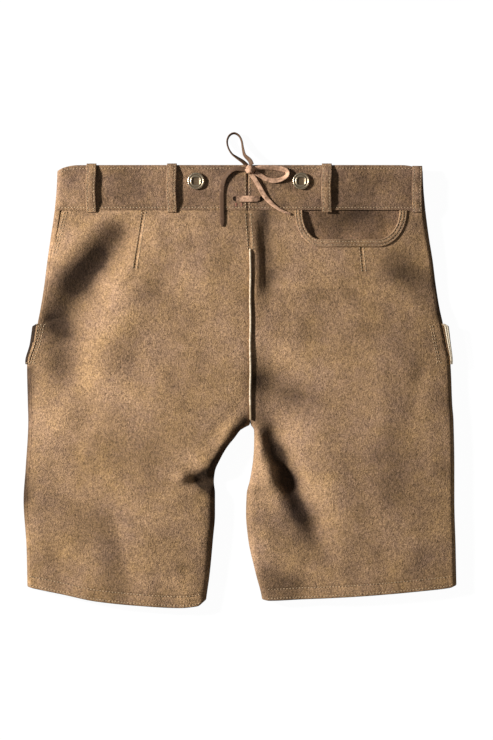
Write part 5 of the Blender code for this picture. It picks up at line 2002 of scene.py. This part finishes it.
@dataclass(frozen=True)
class Lace:
    """The flat thong that closes the waistband's slit, tied in a loose bow."""

    workshop: Workshop
    finishes: Finishes
    width: float = 6.0
    thick: float = 1.4
    clear: float = 1.05
    settle: float = 1.0
    step: float = 1.4
    knot: tuple[float, float] = (12.0, 5.5)
    eyelets: tuple[float, float] = (-4.3, 23.3)
    eyelet_down: float = 39.5
    end_left: tuple[Place, ...] = (
        Place(6.0, 5.5, 3.8), Place(0.0, 4.6, 3.9), Place(-6.0, 4.8, 3.6, 10), Place(-12.5, 8.6, 3.0, 25),
        Place(-17.8, 15.0, 2.5, 20), Place(-20.6, 24.0, 2.2, 8), Place(-21.4, 36.0, 2.1, 0),
        Place(-21.3, 48.0, 2.2, 0), Place(-21.0, 60.0, 2.5, -4), Place(-20.8, 72.0, 3.0, -8),
    )
    end_right: tuple[Place, ...] = (
        Place(13.4, 10.8, 3.4), Place(16.6, 16.0, 3.0, 12), Place(21.4, 23.5, 2.5, 20),
        Place(27.0, 33.5, 2.2, 10), Place(33.6, 42.0, 2.1, 0), Place(42.0, 49.5, 2.1, 0),
        Place(50.6, 54.4, 2.3, -6), Place(59.0, 57.8, 2.4, -10),
    )
    loop_right: tuple[Place, ...] = (
        Place(17.9, 4.2, 4.6, 20), Place(26.0, 3.2, 4.2, 35), Place(36.0, 3.4, 3.3, 30),
        Place(47.0, 4.4, 2.6, 20), Place(54.6, 7.0, 2.3, 30), Place(55.6, 12.0, 2.1, 40),
        Place(49.6, 16.6, 2.1, 30), Place(40.0, 18.6, 2.1, 15), Place(31.0, 16.6, 2.2, 10),
        Place(24.0, 12.6, 2.6, 10), Place(17.9, 9.0, 3.0, 10),
    )
    loop_up: tuple[Place, ...] = (
        Place(8.2, 1.3, 4.3, 20), Place(3.6, -3.4, 3.8, 40), Place(-3.6, -8.6, 1.6, 60),
        Place(-9.6, -13.6, -2.4, 75), Place(-13.8, -21.0, -6.6, 80), Place(-15.2, -29.0, -9.0, 80),
        Place(-12.6, -35.6, -9.8, 80), Place(-7.0, -38.4, -9.9, 80), Place(-1.4, -35.6, -9.8, 80),
        Place(1.9, -29.0, -8.6, 78), Place(3.4, -20.0, -5.2, 72), Place(5.6, -11.5, -0.6, 60),
        Place(11.4, -5.2, 3.2, 40), Place(13.8, 0.2, 4.3, 25),
    )

    def band_top(self) -> float:
        """Height of the waistband at the centre back."""
        return self.workshop.form.top(9.2, 17.0)

    def route(self, places: Sequence[Place]) -> tuple[Array, Array]:
        """Follow a smooth curve through places.

        Args:
            places: the route's places.

        Returns:
            Evenly spaced points in metres, and how far each stands on edge, in radians.
        """
        form, top = self.workshop.form, self.band_top()
        given = np.array([[p.x, p.down, top + p.above - self.settle, p.tilt] for p in places])
        ends = np.concatenate([[2 * given[0] - given[1]], given, [2 * given[-1] - given[-2]]])
        t = np.linspace(0, 1, 24, endpoint=False)[:, None]
        runs = []
        for a, b, c, d in zip(ends, ends[1:], ends[2:], ends[3:]):
            runs.append(0.5 * (2 * b + (c - a) * t + (2 * a - 5 * b + 4 * c - d) * t ** 2
                               + (3 * b - 3 * c + d - a) * t ** 3))
        fine = np.concatenate([*runs, given[-1:]])
        gone = np.concatenate([[0], np.cumsum(np.linalg.norm(np.diff(fine[:, :3], axis=0), axis=1))])
        even = np.linspace(0, gone[-1], int(gone[-1] / self.step) + 1)
        line = np.stack([np.interp(even, gone, fine[:, n]) for n in range(4)], axis=1)
        tilt = np.radians(line[:, 3])
        half_high = self.thick / 2 + (self.width / 2 - self.thick / 2) * np.abs(np.sin(tilt))
        floor = np.where(line[:, 1] > 0, form.tops(line[:, 0], np.maximum(line[:, 1], 0.0)), 0.0)
        high = np.maximum(line[:, 2], floor + 0.25 + half_high)
        smooth = np.convolve(np.pad(high, 3, mode="edge"), np.ones(7) / 7, mode="valid")
        high = np.where(line[:, 1] > -4, np.maximum(high, smooth), smooth)
        return form.place(line[:, 0], line[:, 1], high), tilt

    def strap(self, name: str, points: Array, tilt: Array, width: Array) -> Object:
        """Sweep the thong's section along points.

        Args:
            name: the piece's name.
            points: the middle line, in metres.
            tilt: how far each point's section stands on edge, in radians.
            width: the thong's width at each point, in millimetres.

        Returns:
            The piece.
        """
        along = np.gradient(points, axis=0)
        along /= np.linalg.norm(along, axis=1, keepdims=True)
        level = np.cross([0.0, 0.0, 1.0], along)
        level /= np.maximum(np.linalg.norm(level, axis=1, keepdims=True), 1e-9)
        rise = np.cross(along, level)
        cos, sin = np.cos(tilt)[:, None], np.sin(tilt)[:, None]
        side, up = level * cos + rise * sin, rise * cos - level * sin
        rings = (
            points[:, None] + side[:, None] * (THONG_ACROSS[None, :, None] * width[:, None, None] / 2 * MM)
            + up[:, None] * (THONG_HIGH[None, :, None] * self.thick / 2 * MM)
        )
        count, sides = rings.shape[:2]
        faces: list[tuple[int, ...]] = []
        for r in range(count - 1):
            for k in range(sides):
                n = (k + 1) % sides
                faces.append((r * sides + k, r * sides + n, (r + 1) * sides + n, (r + 1) * sides + k))
        faces.append(tuple(range(sides)))
        faces.append(tuple(range((count - 1) * sides, count * sides)))
        return self.workshop.piece(name, rings, faces, self.finishes.lace, Slot.LACE)

    def stretch(
        self, name: str, node: str, places: Sequence[Place], far_end: str, tone: float, taper: float = 4.0
    ) -> Object:
        """Args:
            name: the piece's name.
            node: the frame's node that it stands for.
            places: its route.
            far_end: what is on its far end.
            tone: how much darker it is, below 0.
            taper: how many of its points a bare end narrows over.

        Returns:
            The stretch.
        """
        points, tilt = self.route(places)
        width = np.full(len(points), self.width)
        even = np.arange(len(points)) * 1.0
        width = width * (1 - 0.10 * np.abs(soft_noise(even, 0 * even, 9, 71)))
        if far_end == "bare":
            left = np.arange(len(points))[::-1]
            width = width * (0.45 + 0.55 * ramp((left + 0.5) / taper))
        thing = self.strap(name, points, tilt, width)
        uneven = 0.25 * soft_noise(even, 0 * even, 9, 72) + tone
        self.workshop.shade(thing, np.repeat(uneven, len(THONG_ACROSS)))
        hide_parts(node)
        return thing

    def tied(self) -> Object:
        """Build the bow's knot: thong wrapped over a core."""
        form, top = self.workshop.form, self.band_top()
        shape = bmesh.new()
        bmesh.ops.create_uvsphere(shape, u_segments=28, v_segments=16, radius=1.0)
        for vert in shape.verts:
            vert.co = Vector((vert.co.x * 4.6, vert.co.y * 3.6, vert.co.z * 2.5))
        verts = [np.array([v.co[:] for v in shape.verts])]
        # In a fixed order, so that each run gives the same mesh.
        faces = sorted(tuple(v.index for v in f.verts) for f in shape.faces)
        shape.free()
        steps, sides = 40, len(WRAP_SECTION)
        turn = np.arange(steps) / steps * 2 * math.pi
        for wrap in WRAPS:
            ring = []
            for out, part in WRAP_SECTION:
                x, z = (wrap.long + out) * np.cos(turn), (wrap.high + out) * np.sin(turn) + wrap.lift
                ring.append(np.stack([x, np.full(steps, part * wrap.wide / 2), z], axis=1))
            points = np.stack(ring, axis=1).reshape(-1, 3)
            cos, sin = math.cos(wrap.angle), math.sin(wrap.angle)
            spin = np.array([[cos, sin, 0], [-sin, cos, 0], [0, 0, 1]])
            first = sum(len(v) for v in verts)
            verts.append(points @ spin)
            for k in range(steps):
                for n in range(sides):
                    a, b = k * sides + n, k * sides + (n + 1) % sides
                    c, d = (k + 1) % steps * sides + (n + 1) % sides, (k + 1) % steps * sides + n
                    faces.append((first + a, first + b, first + c, first + d))
        every = np.concatenate(verts)
        every[:, 2] = np.maximum(every[:, 2], -3.3)
        every = every * MM + form.place(self.knot[0], self.knot[1], top + 3.7)
        thing = self.workshop.piece("lace_bow_knot", every, faces, self.finishes.lace, Slot.LACE)
        # The knot is painted lighter: painted light on thong that catches the light.
        self.workshop.shade(thing, 0.4 * soft_noise(every[:, 0] / MM, every[:, 1] / MM, 3, 74) + 0.3)
        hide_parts("lace_knot")
        return thing

    def bar(self) -> Object:
        """Build the stretch between the eyelets."""
        form = self.workshop.form
        part = np.linspace(0, 1, 30)
        x = self.eyelets[0] + part * (self.eyelets[1] - self.eyelets[0])
        down = self.eyelet_down + 0.5 * np.sin(part * math.pi)
        z = form.tops(x, down) + GAP + 0.75 + 1.2 * np.sin(part * math.pi)
        width = 7.2 - 2.0 * (1 - ramp(np.minimum(part, 1 - part) / 0.12))
        thing = self.strap("lace_cross_stretch", form.place(x, down, z), np.zeros(30), width)
        self.workshop.shade(thing, np.repeat(0.4 * soft_noise(x, down, 5, 75), len(THONG_ACROSS)))
        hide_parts("lace_bar")
        return thing

    def eyelet(self, name: str, x: float) -> Object:
        """Build the dark disc beside one end of the cross stretch: a raised ring whose near-black finish is
        painted shade of the worked eyelet's opening.
        """
        form = self.workshop.form
        steps = 32
        turn = np.arange(steps) / steps * 2 * math.pi
        profile = ((2.5, 0.04), (2.3, 0.4), (1.95, 0.6), (1.6, 0.5), (1.35, 0.12), (0.8, 0.08))
        points = [(x, self.eyelet_down, 0.08)]
        for radius, high in (*profile[::-1], (profile[0][0], -0.1)):
            for a in turn:
                down = self.eyelet_down + 1.15 * radius * math.sin(a)
                points.append((x + radius * math.cos(a), down, high))
        flat = np.array([*points, (x, self.eyelet_down, -0.1)])
        base = form.tops(flat[:, 0], flat[:, 1])
        verts = form.place(flat[:, 0], flat[:, 1], base + flat[:, 2] + 0.12)
        faces: list[tuple[int, ...]] = []
        rings = len(profile) + 1
        for k in range(steps):
            n = (k + 1) % steps
            faces.append((0, 1 + k, 1 + n))
            for r in range(rings - 1):
                a = 1 + r * steps
                faces.append((a + k, a + steps + k, a + steps + n, a + n))
            a = 1 + (rings - 1) * steps
            faces.append((a + n, a + k, len(verts) - 1))
        thing = self.workshop.piece(name, verts, faces, self.finishes.painted_shade, Slot.UNDER)
        return thing

    def build(self) -> None:
        """Build the whole lace."""
        # The left end and the upward loop are painted darker, painted shade of thong turned from the light;
        # the right end and the right loop are painted a little lighter, painted light.
        self.stretch("lace_left_end", "lace_end_left", self.end_left, "bare", -0.8)
        self.stretch("lace_right_end", "lace_end_right", self.end_right, "bare", 0.15, 30.0)
        self.stretch("lace_right_loop", "lace_loop_right", self.loop_right, "object", 0.2)
        self.stretch("lace_up_loop", "lace_loop_up", self.loop_up, "object", -0.8)
        self.tied()
        self.bar()
        self.eyelet("eyelet_left", self.eyelets[0] - 1.8)
        self.eyelet("eyelet_right", self.eyelets[1] + 1.8)


# ------------------------------------------------------------------ sewing that crosses pieces


@dataclass(frozen=True)
class PanelSewing:
    """Rows of stitches along the panels' hems, darts and seams."""

    form: GarmentForm
    hem_rows: tuple[float, float] = (3.0, 13.6)
    seam_out: float = 3.2

    def stitch(self, stitches: StitchMaker) -> None:
        """Sew every row of the panels."""
        form = self.form
        spans = {Half.LEFT: (-246.0, -48.0), Half.RIGHT: (34.0, 247.0)}
        for half, span in spans.items():
            x = np.linspace(*span, 160)
            for up in self.hem_rows:
                down = form.hem(half, x) - up
                stitches.row("tan", form.place(x, down, form.back(half, x, down, 0.0) + 0.1))
                low = form.front(half, x, down, 0.0)
                stitches.row("tan", form.place(x, down, low + 0.05))
        down = np.linspace(58, 98, 26)
        for side in (-1, 1):
            stitches.on_back("tan", form.inner(Half.LEFT, down) + side * self.seam_out, down, 0.1)
        for x0, d0, x1, d1 in ((-113, 56, -123, 120), (142.2, 94, 145.1, 124)):
            share = np.linspace(0, 1, 30)
            for side in (-1, 1):
                stitches.on_back("tan", x0 + share * (x1 - x0) + 2.4 * side, d0 + share * (d1 - d0), 0.15)
        share = np.linspace(0, 1, 26)
        for inset in (4.0, 7.0):
            stitches.on_back("tan", -210.5 + inset - 12 * share, 56 + 47 * share, 0.15)
        tack = np.linspace(0, 1, 5)
        for k in range(4):
            stitches.on_back("red", -4.5 + 6.5 * tack, 45.0 + 1.1 * k + 0 * tack, 0.25)


# ------------------------------------------------------------------ the studio


@dataclass(frozen=True)
class Studio:
    """Floor, light and camera."""

    centre: tuple[float, float] = (0.0076, 0.0182)
    distance: float = 2.5
    lens: float = 103.0
    key_power: float = 170.0
    key_size: float = 0.26
    key_from: tuple[float, float, float] = (-2.5, 0.75, 1.32)
    fill_power: float = 2.6
    fill_from: tuple[float, float, float] = (1.2, -1.6, 1.6)
    ambient: float = 0.105
    floor_low: float = -0.0004

    def camera(self) -> None:
        """Look straight down on the garment."""
        data = bpy.data.cameras.new("camera")
        data.lens = self.lens
        camera = bpy.data.objects.new("camera", data)
        camera.location = (*self.centre, self.distance)
        bpy.context.scene.collection.objects.link(camera)
        bpy.context.scene.camera = camera

    def floor(self) -> None:
        """Lay a plain pale floor."""
        mesh = bpy.data.meshes.new("floor")
        far = 40.0
        z = self.floor_low
        mesh.from_pydata([(-far, -far, z), (far, -far, z), (far, far, z), (-far, far, z)], [], [(0, 1, 2, 3)])
        material = bpy.data.materials.new("pale_floor")
        material.use_nodes = True
        tree = material.node_tree
        tree.nodes.clear()
        path = add(tree, "ShaderNodeLightPath", {})
        glow = add(tree, "ShaderNodeEmission", {"Color": (1, 1, 1, 1), "Strength": 0.97})
        seen = add(tree, "ShaderNodeBsdfDiffuse", {"Color": (0.05, 0.05, 0.05, 1)})
        both = add(tree, "ShaderNodeAddShader", {"0": glow.outputs[0], "1": seen.outputs[0]})
        other = add(tree, "ShaderNodeBsdfDiffuse", {"Color": (0.20, 0.20, 0.20, 1)})
        mixed = add(tree, "ShaderNodeMixShader", {
            "0": path.outputs["Is Camera Ray"], "1": other.outputs[0], "2": both.outputs[0],
        })
        out = tree.nodes.new("ShaderNodeOutputMaterial")
        tree.links.new(mixed.outputs[0], out.inputs["Surface"])
        mesh.materials.append(material)
        floor = bpy.data.objects.new("floor", mesh)
        bpy.context.scene.collection.objects.link(floor)

    def area(self, name: str, at: tuple[float, float, float], power: float, size: float) -> None:
        """Aim a soft light at the garment."""
        data = bpy.data.lights.new(name, "AREA")
        data.energy, data.size = power, size
        light = bpy.data.objects.new(name, data)
        light.location = at
        light.rotation_mode = "QUATERNION"
        light.rotation_quaternion = Vector(at).to_track_quat("Z", "Y")
        bpy.context.scene.collection.objects.link(light)

    def light(self) -> None:
        """Set the key light, a weak fill and the room's own light."""
        self.area("key", self.key_from, self.key_power, self.key_size)
        self.area("fill", self.fill_from, self.fill_power, 1.6)
        world = bpy.data.worlds.new("room")
        bpy.context.scene.world = world
        world.use_nodes = True
        tree = world.node_tree
        path = add(tree, "ShaderNodeLightPath", {})
        strength = add(tree, "ShaderNodeMapRange", {
            "Value": path.outputs["Is Camera Ray"], "To Min": self.ambient, "To Max": 1.0,
        })
        room = tree.nodes["Background"]
        room.inputs["Color"].default_value = (1, 1, 1, 1)
        tree.links.new(strength.outputs["Result"], room.inputs["Strength"])
        bpy.context.scene.view_settings.view_transform = "Standard"


# ------------------------------------------------------------------ putting it together


@dataclass(frozen=True)
class Cut:
    """A sheet's flat size, in millimetres."""

    wide: float
    long: float


@dataclass
class Garment:
    """The whole garment."""

    form: GarmentForm = field(default_factory=GarmentForm)
    cuts: dict[str, Cut] = field(default_factory=lambda: {
        "back_left_cloth": Cut(290, 478), "back_right_cloth": Cut(292, 468),
        "front_left_cloth": Cut(312, 476), "front_right_cloth": Cut(312, 466),
        "waistband_left_leather": Cut(462, 53), "waistband_right_leather": Cut(424, 53),
        "front_flap_leather": Cut(178, 182), "pocket_facing_leather": Cut(136, 50),
    })

    def build(self) -> None:
        """Build every piece, the lace first."""
        finishes = Finishes()
        workshop = Workshop(self.form)
        stitches = StitchMaker(workshop)
        panels = Panels(workshop, finishes)
        Lace(workshop, finishes).build()
        sheets = []
        for half in Half:
            sheets += [panels.back(half), panels.front(half)]
        band = Waistband(workshop, finishes)
        sheets += [band.build(half) for half in Half]
        flap = FrontFlap(workshop, finishes)
        sheets.append(flap.build())
        pocket = BackPocket(workshop, finishes, panels)
        pocket.binding()
        sheets.append(pocket.facing())
        knives = KnifePockets(workshop, finishes)
        for half in Half:
            knives.build(half)
        knives.cut_edge()
        CentrePiping(workshop, finishes).build()
        loops = BeltLoops(workshop, finishes)
        loops.build()
        Buttons(workshop, finishes).build_all()
        for sewing in (band, flap, loops, pocket, knives, PanelSewing(self.form)):
            sewing.stitch(stitches)
        stitches.sew("tan_stitches", "tan", finishes.thread)
        stitches.sew("red_tack", "red", finishes.red_thread)


def main() -> None:
    """Build the garment in its frame, set the camera and light it."""
    logging.basicConfig(level=logging.INFO, format="%(message)s")
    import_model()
    studio = Studio()
    studio.camera()
    Garment().build()
    studio.floor()
    studio.light()


if __name__ == "__main__":
    main()
